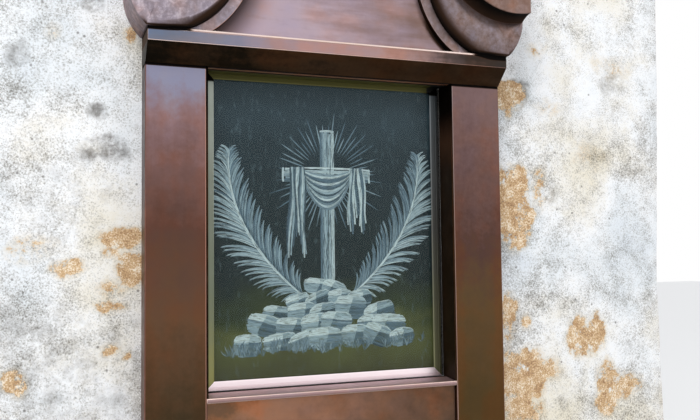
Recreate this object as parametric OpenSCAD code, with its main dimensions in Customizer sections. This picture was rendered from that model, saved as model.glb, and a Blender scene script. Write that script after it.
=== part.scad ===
// Wayside shrine: a free-standing plastered masonry pier with a picture under glass,
// set in a sheet-copper surround with pilasters, a cornice and a scrolled pediment.
// Millimetres. X runs along the front, Y into the masonry, Z up. The front face of the
// masonry is the plane Y = 0 and the ground is Z = 0.

/* [Masonry] */
// Width of the masonry body
body_w = 2900; // [2400:10:3400]
// Depth of the masonry body
body_d = 1100; // [800:10:1600]
// Height of plain masonry between the crest and the eaves moulding
head_room = 250; // [120:10:600]
// Height of the plinth
plinth_h = 350; // [150:10:500]
// How far the plinth stands out from the body
plinth_out = 35; // [10:5:80]
// Height of the plaster eaves moulding
eaves_h = 170; // [120:5:260]
// How far the eaves moulding stands out from the body
eaves_out = 120; // [80:5:200]

/* [Roof] */
// Pitch of the roof in degrees
roof_pitch = 30; // [20:1:45]
// How far the roof stands out past the eaves moulding
roof_out = 45; // [20:5:100]
// Height of the roof's vertical edge
roof_edge = 28; // [20:1:60]
// Width of the capping strips over the ridge and hips
capping_w = 120; // [80:5:180]
// Thickness of the capping strips
capping_t = 8; // [5:1:15]
// Radius of the ball on the ridge
ball_r = 75; // [50:5:110]
// Height of the ball's foot above the ridge capping
ball_foot_h = 70; // [40:5:140]
// Radius of the ball's foot
ball_foot_r = 34; // [20:1:45]
// Height of the cross
cross_h = 430; // [300:10:600]
// Width of the cross
cross_w = 270; // [200:10:360]
// Width of the cross's flat bar
cross_bar = 34; // [24:1:44]
// Thickness of the cross's flat bar
cross_t = 14; // [8:1:20]

/* [Picture] */
// Height of the picture's centre above the ground
picture_z = 1640; // [1580:5:1700]
// Width of the picture panel
panel_w = 800; // [700:10:860]
// Height of the picture panel
panel_h = 1000; // [900:10:1060]
// Thickness of the cover glass
glass_t = 6; // [4:1:8]
// Thickness of the board that carries the picture
board_t = 12; // [8:1:20]
// Width of the aluminium trim's face
trim_w = 30; // [24:1:40]
// Thickness of the trim's front lip
lip_t = 3; // [2:0.5:4]
// How far the trim's lip covers the panel's edge
lip_cover = 5; // [3:1:8]
// Clearance between the trim and the sides of its niche
niche_gap = 3; // [1:1:8]

/* [Copper surround] */
// Width of one pilaster
pilaster_w = 189; // [150:1:230]
// How far the pilasters stand out from the masonry
pilaster_out = 93.5; // [70:0.5:130]
// Height of the surround below the back edge of the sill
rail_h = 284; // [160:2:400]
// Thickness of the reveal sheets beside the picture
reveal_t = 6; // [3:1:10]
// Clearance between the trim and the reveal sheets
reveal_gap = 6; // [3:1:12]
// Thickness of the sill sheet
sill_t = 6; // [4:1:10]
// Fall of the sill from the picture to its front edge
sill_fall = 6; // [3:1:15]
// Height of the sill's turned-down front edge
sill_lip = 16; // [10:1:30]
// How far the base rail's face lies behind the pilaster faces
rail_setback = 13; // [8:1:25]
// Open joint between the base rail and each pilaster
rail_joint = 3; // [2:0.5:6]

/* [Cornice] */
// How far the cornice hides the top edge of the trim
head_cover = 12; // [4:1:24]
// Height of the slanted bed moulding
bed_h = 56; // [40:1:80]
// How far the fascia stands out from the pilaster faces
fascia_out = 61.5; // [40:0.5:90]
// Height of the fascia
fascia_h = 37; // [30:1:60]
// Thickness of the cover sheet on the cornice
cover_t = 6; // [4:1:10]
// How far the cover sheet's drip edge stands out from the fascia
drip_out = 2; // [1:0.5:6]

/* [Pediment] */
// Distance of the scroll centres inside the surround's outer edges
scroll_inset = 14; // [6:1:24]
// Height of the scroll centres above the cornice
scroll_rise = 271; // [264:1:276]
// Radius of the strip's edge beside the tympanum
strip_r = 325; // [318:1:330]
// Width of the strip round each scroll
strip_w = 36; // [28:1:40]
// How far the tympanum stands out from the masonry
tympanum_out = 115; // [90:1:125]
// How far the strips stand out from the masonry
strip_out = 135; // [128:1:150]
// How far the outer edge of a scroll stands out from the masonry
scroll_out = 173; // [160:1:190]
// How far the scrolls stand out past the surround's outer edges
scroll_overhang = 60; // [52:1:72]
// Width of the scroll body's rounded edge beside the strip
scroll_round = 34; // [20:1:50]
// Swell of the scroll body's face between its rounded edge and the coil
scroll_swell = 12; // [4:1:25]
// How far the coil stands out from the scroll's edge
coil_out = 60; // [40:1:80]
// Width of the cove under the coil
coil_cove = 20; // [10:1:24]
// How far the inner turn stands out from the coil
turn_out = 26; // [15:1:40]
// Radius of the scroll's eye
eye_r = 36; // [25:1:42]
// How far the eye stands out from the inner turn
eye_out = 24; // [12:1:32]
// Height of the cap's bed moulding
cap_bed_h = 34; // [24:1:50]
// Height of the cap's fascia
cap_fascia_h = 30; // [20:1:45]
// Distance of the cap's ends inside the surround's outer edges
cap_inset = 96; // [66:1:110]
// How far the cap stands out from the masonry
cap_out = 182; // [165:1:200]
// Distance of the crest's ends inside the cap's ends
crest_inset = 100; // [60:5:160]
// Rise of the crest's arch
crest_rise = 105; // [80:5:130]
// Width of the crest's raised rim
crest_rim_w = 32; // [24:1:45]

/* [Hidden] */
$fn = 96;

copper = "#7d5548";
dark_copper = "#4a3024";
pale_copper = "#93827f";
plaster = "#d9d8d0";
aluminium = "#a9ada6";

// Picture, trim and niche
trim_half_w = panel_w / 2 - lip_cover + trim_w;
trim_half_h = panel_h / 2 - lip_cover + trim_w;
trim_d = lip_t + glass_t + board_t;

// Copper surround
opening_half = trim_half_w + reveal_gap;
pilaster_in = opening_half + reveal_t;
frame_half = pilaster_in + pilaster_w;
sill_gap = 1;
sill_back_z = picture_z - trim_half_h - sill_gap;
foot_z = sill_back_z - rail_h;
cornice_z = picture_z + trim_half_h - head_cover;
fascia_y = pilaster_out + fascia_out;
pediment_z = cornice_z + bed_h + fascia_h + cover_t;

// Pediment and crest
cap_z = pediment_z + 2 * scroll_rise;
cap_top = cap_z + cap_bed_h + cap_fascia_h + cover_t;
cap_half_w = frame_half - cap_inset;
crest_half_w = cap_half_w - crest_inset;
crest_curve = 24;
cap_step = 6;

// Masonry and roof
eaves_lip = 15;
eaves_band = eaves_h * 0.3;
eaves_fillet = eaves_h * 0.14;
eaves_curve = 8;
body_top = cap_top + crest_rise + head_room;
roof_z = body_top + eaves_h;
middle_y = body_d / 2;
roof_half_w = body_w / 2 + eaves_out + roof_out;
roof_half_d = body_d / 2 + eaves_out + roof_out;
ridge_z = roof_z + roof_edge + roof_half_d * tan(roof_pitch);
ball_sink = 0.1;
ball_z = ridge_z + capping_t + ball_foot_h + ball_r * (1 - ball_sink);
collar_z = ball_z + ball_r;
collar_rim = 10;
collar_r = cross_bar / 2 + collar_rim;
cross_arm = 0.64;

// Scrolls. A scroll is drawn for the right side and mirrored for the left.
// All its outlines are points [x, z] that run counter-clockwise as the front is seen.
arc_steps = 14;
side_steps = 6;
coil_shift = [-74, 59];
coil_low_shift = [87, 61];
coil_r = 150;
turn_s = 0.56;
turn_edge = 0.94;
turn_face = 0.98;
round_share = 0.45;
swell_share = 0.1;
coil_step = 2;
toe_r = 180;
toe_rise = 130;
scroll_side = frame_half + scroll_overhang;
scroll_c = [frame_half - scroll_inset, pediment_z + scroll_rise];
scroll_r = strip_r - strip_w;
coil_c = scroll_c + coil_shift;
coil_low_c = coil_c + coil_low_shift;
coil_low_r = coil_r + norm(coil_low_c - coil_c);
coil_side = scroll_side - coil_step;
join_a = atan2(coil_c.y - scroll_c.y, coil_c.x - scroll_c.x);
crown_r = scroll_r - norm(coil_c - scroll_c);
low_a = atan2(coil_c.y - coil_low_c.y, coil_c.x - coil_low_c.x) + 360;
toe_c = [scroll_side - toe_r, pediment_z + toe_rise];

// Points of an arc about c, from angle a0 to a1, without its last point
function arc(c, r, a0, a1, steps = arc_steps) =
    [for (i = [0 : steps - 1]) let (a = a0 + (a1 - a0) * i / steps) c + r * [cos(a), sin(a)]];

// Points of a straight stretch from p to q, without its last point
function line(p, q, steps) = [for (i = [0 : steps - 1]) p + (q - p) * i / steps];

// Angle, on the left half of a circle about c, of the point at height z
function left_angle(c, r, z) = 180 - asin((z - c.y) / r);

// Angle, on the upper half of a circle about c, of the point at x
function right_angle(c, r, x) = acos((x - c.x) / r);

// Draws a front outline [x, z] as a slab from y_front to y_back
module slab(y_front, y_back) {
    translate([0, y_back, 0])
        rotate([90, 0, 0])
            linear_extrude(height = y_back - y_front) children();
}

// Draws a side outline [y, z] as a bar from -half to half along X
module bar(half) {
    translate([-half, 0, 0])
        rotate([90, 0, 90])
            linear_extrude(height = 2 * half) children();
}

// Puts a right-hand piece on the left for side = -1
module on_side(side) {
    mirror([side < 0 ? 1 : 0, 0, 0]) children();
}

// Closed solid through flat-ended rings of equal count, from the back ring to the front ring
module skin(rings) {
    n = len(rings[0]);
    last = len(rings) - 1;
    middle = (last + 1) * n;
    sides = [
        for (j = [0 : last - 1]) for (i = [0 : n - 1])
            let (a = j * n + i, b = j * n + (i + 1) % n)
                each [[a, b + n, b], [a, a + n, b + n]]
    ];
    back = [for (i = [0 : n - 1]) [i, (i + 1) % n, middle]];
    front = [for (i = [0 : n - 1]) [last * n + (i + 1) % n, last * n + i, middle + 1]];
    points = concat([for (ring = rings) each ring], [mean(rings[0]), mean(rings[last])]);
    polyhedron(points, concat(sides, back, front));
}

// Mean of a list of points in space
function mean(points) = [for (p = points) 1 / len(points)] * points;

// Masonry

module masonry_plinth() {
    color(plaster)
        translate([-body_w / 2 - plinth_out, -plinth_out, 0])
            cube([body_w + 2 * plinth_out, body_d + 2 * plinth_out, plinth_h]);
}

module masonry_body() {
    color(plaster)
        difference() {
            translate([-body_w / 2, 0, plinth_h]) cube([body_w, body_d, body_top - plinth_h]);
            slab(-1, trim_d)
                translate([0, picture_z])
                    square(2 * [trim_half_w + niche_gap, trim_half_h + niche_gap], center = true);
        }
}

// Half outline of the eaves moulding as [projection, height]: fillet, cavetto and top band
function eaves_steps() =
    let (r_h = eaves_h - eaves_band - eaves_fillet, r_w = eaves_out - 2 * eaves_lip)
    concat(
        [[0, 0], [eaves_lip, 0], [eaves_lip, eaves_fillet]],
        [for (i = [1 : eaves_curve])
            let (a = 90 * i / eaves_curve)
                [eaves_lip + r_w * (1 - cos(a)), eaves_fillet + r_h * sin(a)]],
        [[eaves_out, eaves_h - eaves_band], [eaves_out, eaves_h]]
    );

module eaves_outline(half) {
    steps = eaves_steps();
    right = [for (s = steps) [half + s.x, s.y]];
    left = [for (i = [len(steps) - 1 : -1 : 0]) [-half - steps[i].x, steps[i].y]];
    polygon(concat(right, left));
}

module eaves_moulding() {
    color(plaster)
        translate([0, middle_y, body_top])
            intersection() {
                bar(body_w) eaves_outline(body_d / 2);
                slab(-body_d, body_d) eaves_outline(body_w / 2);
            }
}

// Hipped roof with equal pitches
module roof_form() {
    rise = roof_half_d * tan(roof_pitch);
    top_half = roof_half_w - roof_half_d;
    translate([0, middle_y, roof_z])
        intersection() {
            bar(roof_half_w)
                polygon([[-roof_half_d, 0], [roof_half_d, 0], [roof_half_d, roof_edge],
                         [0, roof_edge + rise], [-roof_half_d, roof_edge]]);
            slab(-roof_half_d, roof_half_d)
                polygon([[-roof_half_w, 0], [roof_half_w, 0], [roof_half_w, roof_edge],
                         [top_half, roof_edge + rise], [-top_half, roof_edge + rise],
                         [-roof_half_w, roof_edge]]);
        }
}

module roof() {
    color(copper) roof_form();
}

module roof_capping() {
    top_half = roof_half_w - roof_half_d;
    color(dark_copper)
        intersection() {
            difference() {
                translate([0, 0, capping_t]) roof_form();
                roof_form();
                translate([-roof_half_w - 1, middle_y - roof_half_d - 1, roof_z - 1])
                    cube([2 * roof_half_w + 2, 2 * roof_half_d + 2, roof_edge + 1]);
            }
            union() {
                translate([-top_half, middle_y - capping_w / 2, roof_z])
                    cube([2 * top_half, capping_w, ridge_z]);
                for (side = [-1, 1], turn = [-45, 45])
                    translate([side * top_half, middle_y, roof_z])
                        rotate([0, 0, turn + (side < 0 ? 180 : 0)])
                            translate([0, -capping_w / 2, 0])
                                cube([2 * roof_half_d, capping_w, ridge_z]);
            }
        }
}

module ridge_ball() {
    color(dark_copper)
        difference() {
            union() {
                translate([0, middle_y, ridge_z - ball_foot_r])
                    cylinder(r = ball_foot_r, h = ball_z - ridge_z + ball_foot_r);
                translate([0, middle_y, ball_z]) sphere(r = ball_r);
                translate([0, middle_y, ball_z])
                    cylinder(r = collar_r, h = collar_z - ball_z);
            }
            translate([0, 0, capping_t]) roof_form();
        }
}

module roof_cross() {
    arm_z = cross_h * cross_arm;
    color(dark_copper)
        translate([0, middle_y + cross_t / 2, collar_z])
            rotate([90, 0, 0])
                linear_extrude(height = cross_t)
                    union() {
                        translate([-cross_bar / 2, 0]) square([cross_bar, cross_h]);
                        translate([-cross_w / 2, arm_z]) square([cross_w, cross_bar]);
                    }
}

// Copper surround

module pilaster(side) {
    color(copper)
        on_side(side)
            translate([pilaster_in, -pilaster_out, foot_z])
                cube([pilaster_w, pilaster_out, cornice_z - foot_z]);
}

module left_pilaster() {
    pilaster(-1);
}

module right_pilaster() {
    pilaster(1);
}

// Height of the sill's top at a distance out from the masonry
function sill_z(out) = sill_back_z - sill_fall * out / pilaster_out;

module sill() {
    front_z = sill_z(pilaster_out);
    color(pale_copper)
        bar(pilaster_in)
            polygon([[0, sill_z(0)], [-pilaster_out, front_z],
                     [-pilaster_out, front_z - sill_lip], [-pilaster_out + sill_t, front_z - sill_lip],
                     [-pilaster_out + sill_t, sill_z(pilaster_out - sill_t) - sill_t],
                     [0, sill_z(0) - sill_t]]);
}

module base_rail() {
    out = pilaster_out - rail_setback;
    color(copper)
        bar(pilaster_in - rail_joint)
            polygon([[0, foot_z], [0, sill_z(0) - sill_t], [-out, sill_z(out) - sill_t], [-out, foot_z]]);
}

module reveal(side) {
    color(dark_copper)
        on_side(side)
            translate([opening_half, 0, 0])
                rotate([90, 0, 90])
                    linear_extrude(height = reveal_t)
                        polygon([[0, sill_z(0)], [0, cornice_z], [-pilaster_out, cornice_z],
                                 [-pilaster_out, sill_z(pilaster_out)]]);
}

module left_reveal() {
    reveal(-1);
}

module right_reveal() {
    reveal(1);
}

module cornice_bed() {
    color(dark_copper)
        bar(frame_half)
            polygon([[0, cornice_z], [-pilaster_out, cornice_z],
                     [-fascia_y, cornice_z + bed_h], [0, cornice_z + bed_h]]);
}

module cornice_fascia() {
    color(copper)
        translate([-frame_half, -fascia_y, cornice_z + bed_h])
            cube([2 * frame_half, fascia_y, fascia_h]);
}

module cornice_cover() {
    color(pale_copper)
        translate([-frame_half, -fascia_y - drip_out, pediment_z - cover_t])
            cube([2 * frame_half, fascia_y + drip_out, cover_t]);
}

// Pediment

// Edge of the strip or of the scroll body, from the cornice up to the cap
function neck(r) =
    let (a = left_angle(scroll_c, r, pediment_z)) arc(scroll_c, r, a, 360 - a, 3 * arc_steps);

module tympanum() {
    a = left_angle(scroll_c, strip_r, pediment_z);
    right = concat(neck(strip_r), [scroll_c + strip_r * [cos(a), -sin(a)]]);
    left = [for (i = [len(right) - 1 : -1 : 0]) [-right[i].x, right[i].y]];
    color(pale_copper)
        slab(-tympanum_out, 0)
            polygon(concat(right, left));
}

module strip(side) {
    outer_a = left_angle(scroll_c, strip_r, pediment_z);
    outer = concat(neck(strip_r), [scroll_c + strip_r * [cos(outer_a), -sin(outer_a)]]);
    inner = concat(scroll_neck(), [[scroll_c.x - sqrt(pow(scroll_r, 2) - pow(scroll_rise, 2)), cap_z]]);
    color(pale_copper)
        on_side(side)
            slab(-strip_out, 0)
                polygon(concat(outer, [for (i = [len(inner) - 1 : -1 : 0]) inner[i]]));
}

module left_strip() {
    strip(-1);
}

module right_strip() {
    strip(1);
}

// Edge between strip and scroll body, in the same steps as the body's own outline
function scroll_neck() =
    let (low = left_angle(scroll_c, scroll_r, pediment_z), high = 360 - low)
    concat(
        arc(scroll_c, scroll_r, low, low_a),
        arc(scroll_c, scroll_r, low_a, join_a),
        arc(scroll_c, scroll_r, join_a, high, 4)
    );

// Outline of a scroll body
function scroll_outline() =
    let (
        low = left_angle(scroll_c, scroll_r, pediment_z),
        top = right_angle(coil_c, crown_r, scroll_side),
        toe_end = asin((pediment_z - toe_c.y) / toe_r),
        corner = toe_c + [toe_r, 0]
    )
    concat(
        line(corner, [scroll_side, coil_c.y + crown_r * sin(top)], side_steps),
        arc(coil_c, crown_r, top, join_a),
        arc(scroll_c, scroll_r, join_a, low_a),
        arc(scroll_c, scroll_r, low_a, low),
        line([scroll_c.x + scroll_r * cos(low), pediment_z],
             toe_c + toe_r * [cos(toe_end), sin(toe_end)], side_steps),
        arc(toe_c, toe_r, toe_end, 0)
    );

// Outline of a coil, with its curved edges moved out by spread
function coil_outline(spread = 0) =
    let (
        r = coil_r + spread,
        low_r = coil_low_r + spread,
        top = right_angle(coil_c, r, coil_side),
        end = 360 - right_angle(coil_low_c, low_r, coil_side),
        third = (end - low_a) / 3
    )
    concat(
        line([coil_side, coil_low_c.y + low_r * sin(end)],
             [coil_side, coil_c.y + r * sin(top)], side_steps),
        arc(coil_c, r, top, join_a),
        arc(coil_c, r, join_a, low_a),
        arc(coil_low_c, low_r, low_a, low_a + third),
        arc(coil_low_c, low_r, low_a + third, low_a + 2 * third, side_steps),
        arc(coil_low_c, low_r, low_a + 2 * third, end)
    );

// Places an outline in space at distance out from the masonry
function ring(outline, out) = [for (p = outline) [p.x, -out, p.y]];

// How far the scroll's edge stands out: level with the strip inside, further outside
function edge_out(p) =
    let (x0 = scroll_c.x - scroll_r)
    strip_out + (scroll_out - strip_out) * (p.x - x0) / (scroll_side - x0);

// Width of the rounded edge where the scroll body is width wide
function round_width(width) = min(scroll_round, width * round_share);

// Ring of the scroll body's face. It lies at a share of the rounded edge, and then at a
// share t of the stretch from there to the coil's foot, where the face swells a little.
function scroll_ring(edge, foot, share, t) =
    [for (i = [0 : len(edge) - 1])
        let (
            width = norm(foot[i] - edge[i]),
            bend = round_width(width),
            way = bend * share + (width - bend) * t,
            p = edge[i] + (foot[i] - edge[i]) * way / width,
            low = edge_out(edge[i]),
            swell = min(scroll_swell, width * swell_share) * sin(180 * t),
            out = low + (scroll_out - low) * sqrt(1 - pow(1 - share, 2)) + swell
        )
        [p.x, -out, p.y]];

module scroll(side) {
    edge = scroll_outline();
    foot = coil_outline(coil_cove);
    rings = concat(
        [ring(edge, 0)],
        [for (share = [0, 0.06, 0.22, 0.5, 1]) scroll_ring(edge, foot, share, 0)],
        [for (t = [0.25, 0.5, 0.75, 1]) scroll_ring(edge, foot, 1, t)]
    );
    color(copper) on_side(side) skin(rings);
}

module left_scroll() {
    scroll(-1);
}

module right_scroll() {
    scroll(1);
}

// Outline shrunk about a point
function shrink(outline, c, s) = [for (p = outline) c + (p - c) * s];

// Front of a turn: a cove that narrows from foot to edge, then a face with a crisp edge
function turn_rings(out, height, cove) =
    concat(
        [for (t = [0, 0.25, 0.5, 0.75, 1])
            ring(coil_outline(cove * pow(1 - t, 2)), out + height * turn_edge * t)],
        [ring(shrink(coil_outline(), coil_c, turn_face), out + height)]
    );

module coil(side) {
    color(copper) on_side(side) skin(turn_rings(scroll_out, coil_out, coil_cove));
}

module left_coil() {
    coil(-1);
}

module right_coil() {
    coil(1);
}

module inner_turn(side) {
    rings = turn_rings(0, turn_out, coil_cove);
    placed = [for (r = rings) [for (p = r)
        let (q = coil_c + ([p.x, p.z] - coil_c) * turn_s) [q.x, p.y - scroll_out - coil_out, q.y]]];
    color(pale_copper) on_side(side) skin(placed);
}

module left_inner_turn() {
    inner_turn(-1);
}

module right_inner_turn() {
    inner_turn(1);
}

// Domed eye: an arc of a circle turned about the axis of the coil
module eye(side) {
    dome_r = (pow(eye_r, 2) + pow(eye_out, 2)) / (2 * eye_out);
    base = scroll_out + coil_out + turn_out;
    color(copper)
        on_side(side)
            translate([coil_c.x, -base, coil_c.y])
                rotate([90, 0, 0])
                    intersection() {
                        translate([0, 0, eye_out - dome_r]) sphere(r = dome_r);
                        cylinder(r = eye_r + 1, h = eye_out + 1);
                    }
}

module left_eye() {
    eye(-1);
}

module right_eye() {
    eye(1);
}

module pediment_cap() {
    top = cap_z + cap_bed_h + cap_fascia_h;
    foot_out = strip_out + cap_step;
    color(copper)
        bar(cap_half_w)
            polygon([[0, cap_z], [-foot_out, cap_z], [-cap_out, cap_z + cap_bed_h],
                     [-cap_out, top], [-cap_out - drip_out, top], [-cap_out - drip_out, cap_top],
                     [0, cap_top]]);
}

// Points of the crest's arch, moved in by an inset
function crest_arch(inset) =
    let (
        r = (pow(crest_half_w, 2) + pow(crest_rise, 2)) / (2 * crest_rise),
        c = [0, cap_top + crest_rise - r],
        a = acos((r - crest_rise) / (r - inset))
    )
    [for (i = [0 : crest_curve])
        let (b = 90 - a + 2 * a * i / crest_curve) c + (r - inset) * [cos(b), sin(b)]];

module crest_panel() {
    color(pale_copper)
        slab(-tympanum_out, 0)
            polygon(crest_arch(crest_rim_w));
}

module crest_rim() {
    inner = crest_arch(crest_rim_w);
    color(copper)
        slab(-strip_out, 0)
            polygon(concat(crest_arch(0), [for (i = [crest_curve : -1 : 0]) inner[i]]));
}

// Picture and its trim

// One mitred side of the trim: a lip over the panel's edge and a leg beside it
module trim_side(half_long, half_short) {
    slip = half_long - trim_w;
    difference() {
        slab(0, trim_d)
            polygon([[-half_long, half_short], [half_long, half_short], [slip, half_short - trim_w],
                     [-slip, half_short - trim_w]]);
        translate([-half_long, lip_t, half_short - trim_w - 1])
            cube([2 * half_long, trim_d, trim_w - lip_t + 1]);
    }
}

module place_trim(turn) {
    color(aluminium)
        translate([0, 0, picture_z])
            rotate([0, turn, 0]) children();
}

module trim_top() {
    place_trim(0) trim_side(trim_half_w, trim_half_h);
}

module trim_bottom() {
    place_trim(180) trim_side(trim_half_w, trim_half_h);
}

module trim_left() {
    place_trim(-90) trim_side(trim_half_h, trim_half_w);
}

module trim_right() {
    place_trim(90) trim_side(trim_half_h, trim_half_w);
}

module panel_sheet(y, thickness) {
    translate([-panel_w / 2, y, picture_z - panel_h / 2])
        cube([panel_w, thickness, panel_h]);
}

module cover_glass() {
    color("#26333c", 0.5) panel_sheet(lip_t, glass_t);
}

module picture_board() {
    color("#20282c") panel_sheet(lip_t + glass_t, board_t);
}

masonry_plinth();
masonry_body();
eaves_moulding();
roof();
roof_capping();
ridge_ball();
roof_cross();
left_pilaster();
right_pilaster();
base_rail();
sill();
left_reveal();
right_reveal();
cornice_bed();
cornice_fascia();
cornice_cover();
tympanum();
left_strip();
right_strip();
left_scroll();
right_scroll();
left_coil();
right_coil();
left_inner_turn();
right_inner_turn();
left_eye();
right_eye();
pediment_cap();
crest_panel();
crest_rim();
trim_top();
trim_bottom();
trim_left();
trim_right();
cover_glass();
picture_board();
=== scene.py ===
"""The looks of a plastered wayside shrine with a picture in a sheet-copper surround.

Metres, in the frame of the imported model: X runs along the front, Y into the masonry, Z up.
"""

import sys

import logging
import math
from dataclasses import dataclass, field
from enum import Enum
from functools import partial
from typing import Any, Callable, Iterable, Sequence

import bmesh
import bpy
import numpy as np
from mathutils import Matrix, Vector


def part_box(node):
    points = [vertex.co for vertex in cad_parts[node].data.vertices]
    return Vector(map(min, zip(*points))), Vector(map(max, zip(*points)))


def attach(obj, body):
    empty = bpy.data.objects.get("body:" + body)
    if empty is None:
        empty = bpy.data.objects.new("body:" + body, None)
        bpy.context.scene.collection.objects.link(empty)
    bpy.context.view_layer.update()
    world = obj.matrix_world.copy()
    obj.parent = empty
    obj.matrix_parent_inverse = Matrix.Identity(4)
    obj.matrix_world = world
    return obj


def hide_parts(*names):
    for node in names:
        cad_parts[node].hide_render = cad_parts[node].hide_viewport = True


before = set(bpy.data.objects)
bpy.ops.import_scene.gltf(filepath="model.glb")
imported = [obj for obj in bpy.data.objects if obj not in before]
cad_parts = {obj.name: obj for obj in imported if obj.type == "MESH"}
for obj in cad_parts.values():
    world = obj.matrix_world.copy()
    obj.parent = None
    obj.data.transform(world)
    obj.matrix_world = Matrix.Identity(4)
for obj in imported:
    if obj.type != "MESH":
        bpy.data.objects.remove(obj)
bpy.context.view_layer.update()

log = logging.getLogger("shrine")
BODY = "root"
MM = 0.001
HAIR = 1e-6
FRONT_Y = 0.05
ACROSS = (1.0, 0.0, 0.0)
UP = (0.0, 0.0, 1.0)
COLOURS = {"data_type": "RGBA"}
TINT = {"data_type": "RGBA", "blend_type": "MULTIPLY"}
Face = tuple[int, ...]
Material = bpy.types.Material
Mesh = bpy.types.Mesh
Node = bpy.types.Node
Piece = bpy.types.Object
Socket = bpy.types.NodeSocket
Stops = Sequence[tuple[float, str]]
Tree = bpy.types.NodeTree
Adder = Callable[..., Node]


def linear(hex_colour: str) -> tuple[float, float, float, float]:
    """Turns an sRGB hex colour into a linear RGBA colour.

    Args:
        hex_colour: Six hex digits after a hash.

    Returns:
        Red, green, blue and alpha, each from 0 to 1.
    """
    srgb = [int(hex_colour[i:i + 2], 16) / 255 for i in (1, 3, 5)]
    rgb = [c / 12.92 if c <= 0.04045 else ((c + 0.055) / 1.055) ** 2.4 for c in srgb]
    return (rgb[0], rgb[1], rgb[2], 1.0)


def feed(node: Node, inputs: dict[Any, Any]) -> None:
    """Gives a node's inputs their values or links.

    Args:
        node: The node.
        inputs: Values, sockets or nodes, by input index or name. Of inputs with one name the
            one in use is meant, and a node stands for its first output in use.
    """
    for key, value in inputs.items():
        socket = node.inputs[key] if isinstance(key, int) else next(
            s for s in node.inputs if s.enabled and s.name == key)
        if isinstance(value, Node):
            value = next(s for s in value.outputs if s.enabled)
        if isinstance(value, Socket):
            node.id_data.links.new(value, socket)
        else:
            socket.default_value = value


def add_node(tree: Tree, kind: str, inputs: dict[Any, Any] | None = None, stops: Stops = (),
             **settings: Any) -> Node:
    """Adds a node to a tree with its settings, values and links.

    Args:
        tree: The tree.
        kind: The node's type name; a shader node's goes without its ShaderNode.
        inputs: What its inputs get, as feed takes it.
        stops: Position and hex colour of each stop of a colour ramp, in order.
        settings: The node's own properties.

    Returns:
        The new node.
    """
    node = tree.nodes.new(kind if "Node" in kind else "ShaderNode" + kind)
    for name, value in settings.items():
        setattr(node, name, value)
    feed(node, inputs or {})
    if stops:
        elements = node.color_ramp.elements
        while len(elements) < len(stops):
            elements.new(0.5)
        for element, (position, colour) in zip(elements, stops):
            element.position = position
            element.color = linear(colour)
    return node


def start_material(name: str) -> tuple[Material, Adder, Node, Socket]:
    """Makes a material with its shader and its object coordinates.

    Args:
        name: The material's name.

    Returns:
        The material, what adds a node to it, its shader and the coordinates.
    """
    material = bpy.data.materials.new(name)
    material.use_nodes = True
    tree = material.node_tree
    add = partial(add_node, tree)
    return material, add, tree.nodes["Principled BSDF"], add("TexCoord").outputs["Object"]


def layered(add: Adder, base: Any, *layers: tuple[Any, float, float, float]) -> Node:
    """Adds layers of noise to a tone, each centred on nought.

    Args:
        add: What adds a node.
        base: The tone.
        layers: Place, cell width in mm, share and roughness of each layer.

    Returns:
        The layered tone.
    """
    total = base
    for place, cell_mm, share, rough in layers:
        noise = add("TexNoise", {"Vector": place, "Scale": 1 / (cell_mm * MM), "Detail": 5.0,
                                 "Roughness": rough})
        centred = add("Math", {0: noise, 1: share, 2: -share / 2}, operation="MULTIPLY_ADD")
        total = add("Math", {0: total, 1: centred})
    return total


class Noise:
    """Smooth lattice noise with a fixed seed, for shaping meshes."""

    def __init__(self, seed: int, size: int = 64) -> None:
        """Fills the lattice from a seed."""
        self.size = size
        self.values = np.random.default_rng(seed).random((size,) * 3)

    def at(self, points: np.ndarray, cell: float) -> np.ndarray:
        """Reads one octave.

        Args:
            points: Places, one row each, in metres.
            cell: Width of a cell in metres.

        Returns:
            A value from -1 to 1 for each place.
        """
        scaled = points / cell
        low = np.floor(scaled).astype(int)
        t = scaled - low
        t = t * t * (3 - 2 * t)
        total = np.zeros(len(points))
        for corner in np.ndindex(2, 2, 2):
            index = (low + corner) % self.size
            weight = np.prod(np.where(np.array(corner) == 1, t, 1 - t), axis=1)
            total += weight * self.values[index[:, 0], index[:, 1], index[:, 2]]
        return total * 2 - 1

    def layers(self, points: np.ndarray, cell: float, count: int) -> np.ndarray:
        """Sums octaves, each half as wide and half as strong as the last, to about -1 to 1."""
        total = sum(self.at(points + 7.3 * k, cell / 2 ** k) / 2 ** k for k in range(count))
        return total / (2 - 0.5 ** (count - 1))


def ease(low: float, high: float, values: Any) -> Any:
    """Smooth step of the values, from 0 at low to 1 at high."""
    t = np.clip((values - low) / (high - low), 0, 1)
    return t * t * (3 - 2 * t)


def link_object(name: str, mesh: Any) -> Piece:
    """Puts a mesh, camera or light in the scene as an object at the origin.

    Args:
        name: The object's name.
        mesh: Its data.

    Returns:
        The object.
    """
    piece = bpy.data.objects.new(name, mesh)
    bpy.context.scene.collection.objects.link(piece)
    return piece


def finish_piece(piece: Piece, nodes: Iterable[str] = ()) -> None:
    """Rides a finished piece on the body and reports it.

    Args:
        piece: The piece, in place.
        nodes: The CAD nodes that it stands for.
    """
    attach(piece, BODY)
    names = list(nodes)
    if names:
        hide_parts(*names)
    log.info("%s: %d faces", piece.name, len(piece.data.polygons))


def mesh_from(name: str, points: Any, faces: Any) -> Mesh:
    """Makes a mesh.

    Args:
        name: The mesh's name.
        points: Places in metres.
        faces: Point indices of each face.

    Returns:
        The mesh.
    """
    mesh = bpy.data.meshes.new(name)
    mesh.from_pydata([tuple(map(float, p)) for p in points], [],
                     [tuple(map(int, f)) for f in faces])
    mesh.update()
    return mesh


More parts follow.
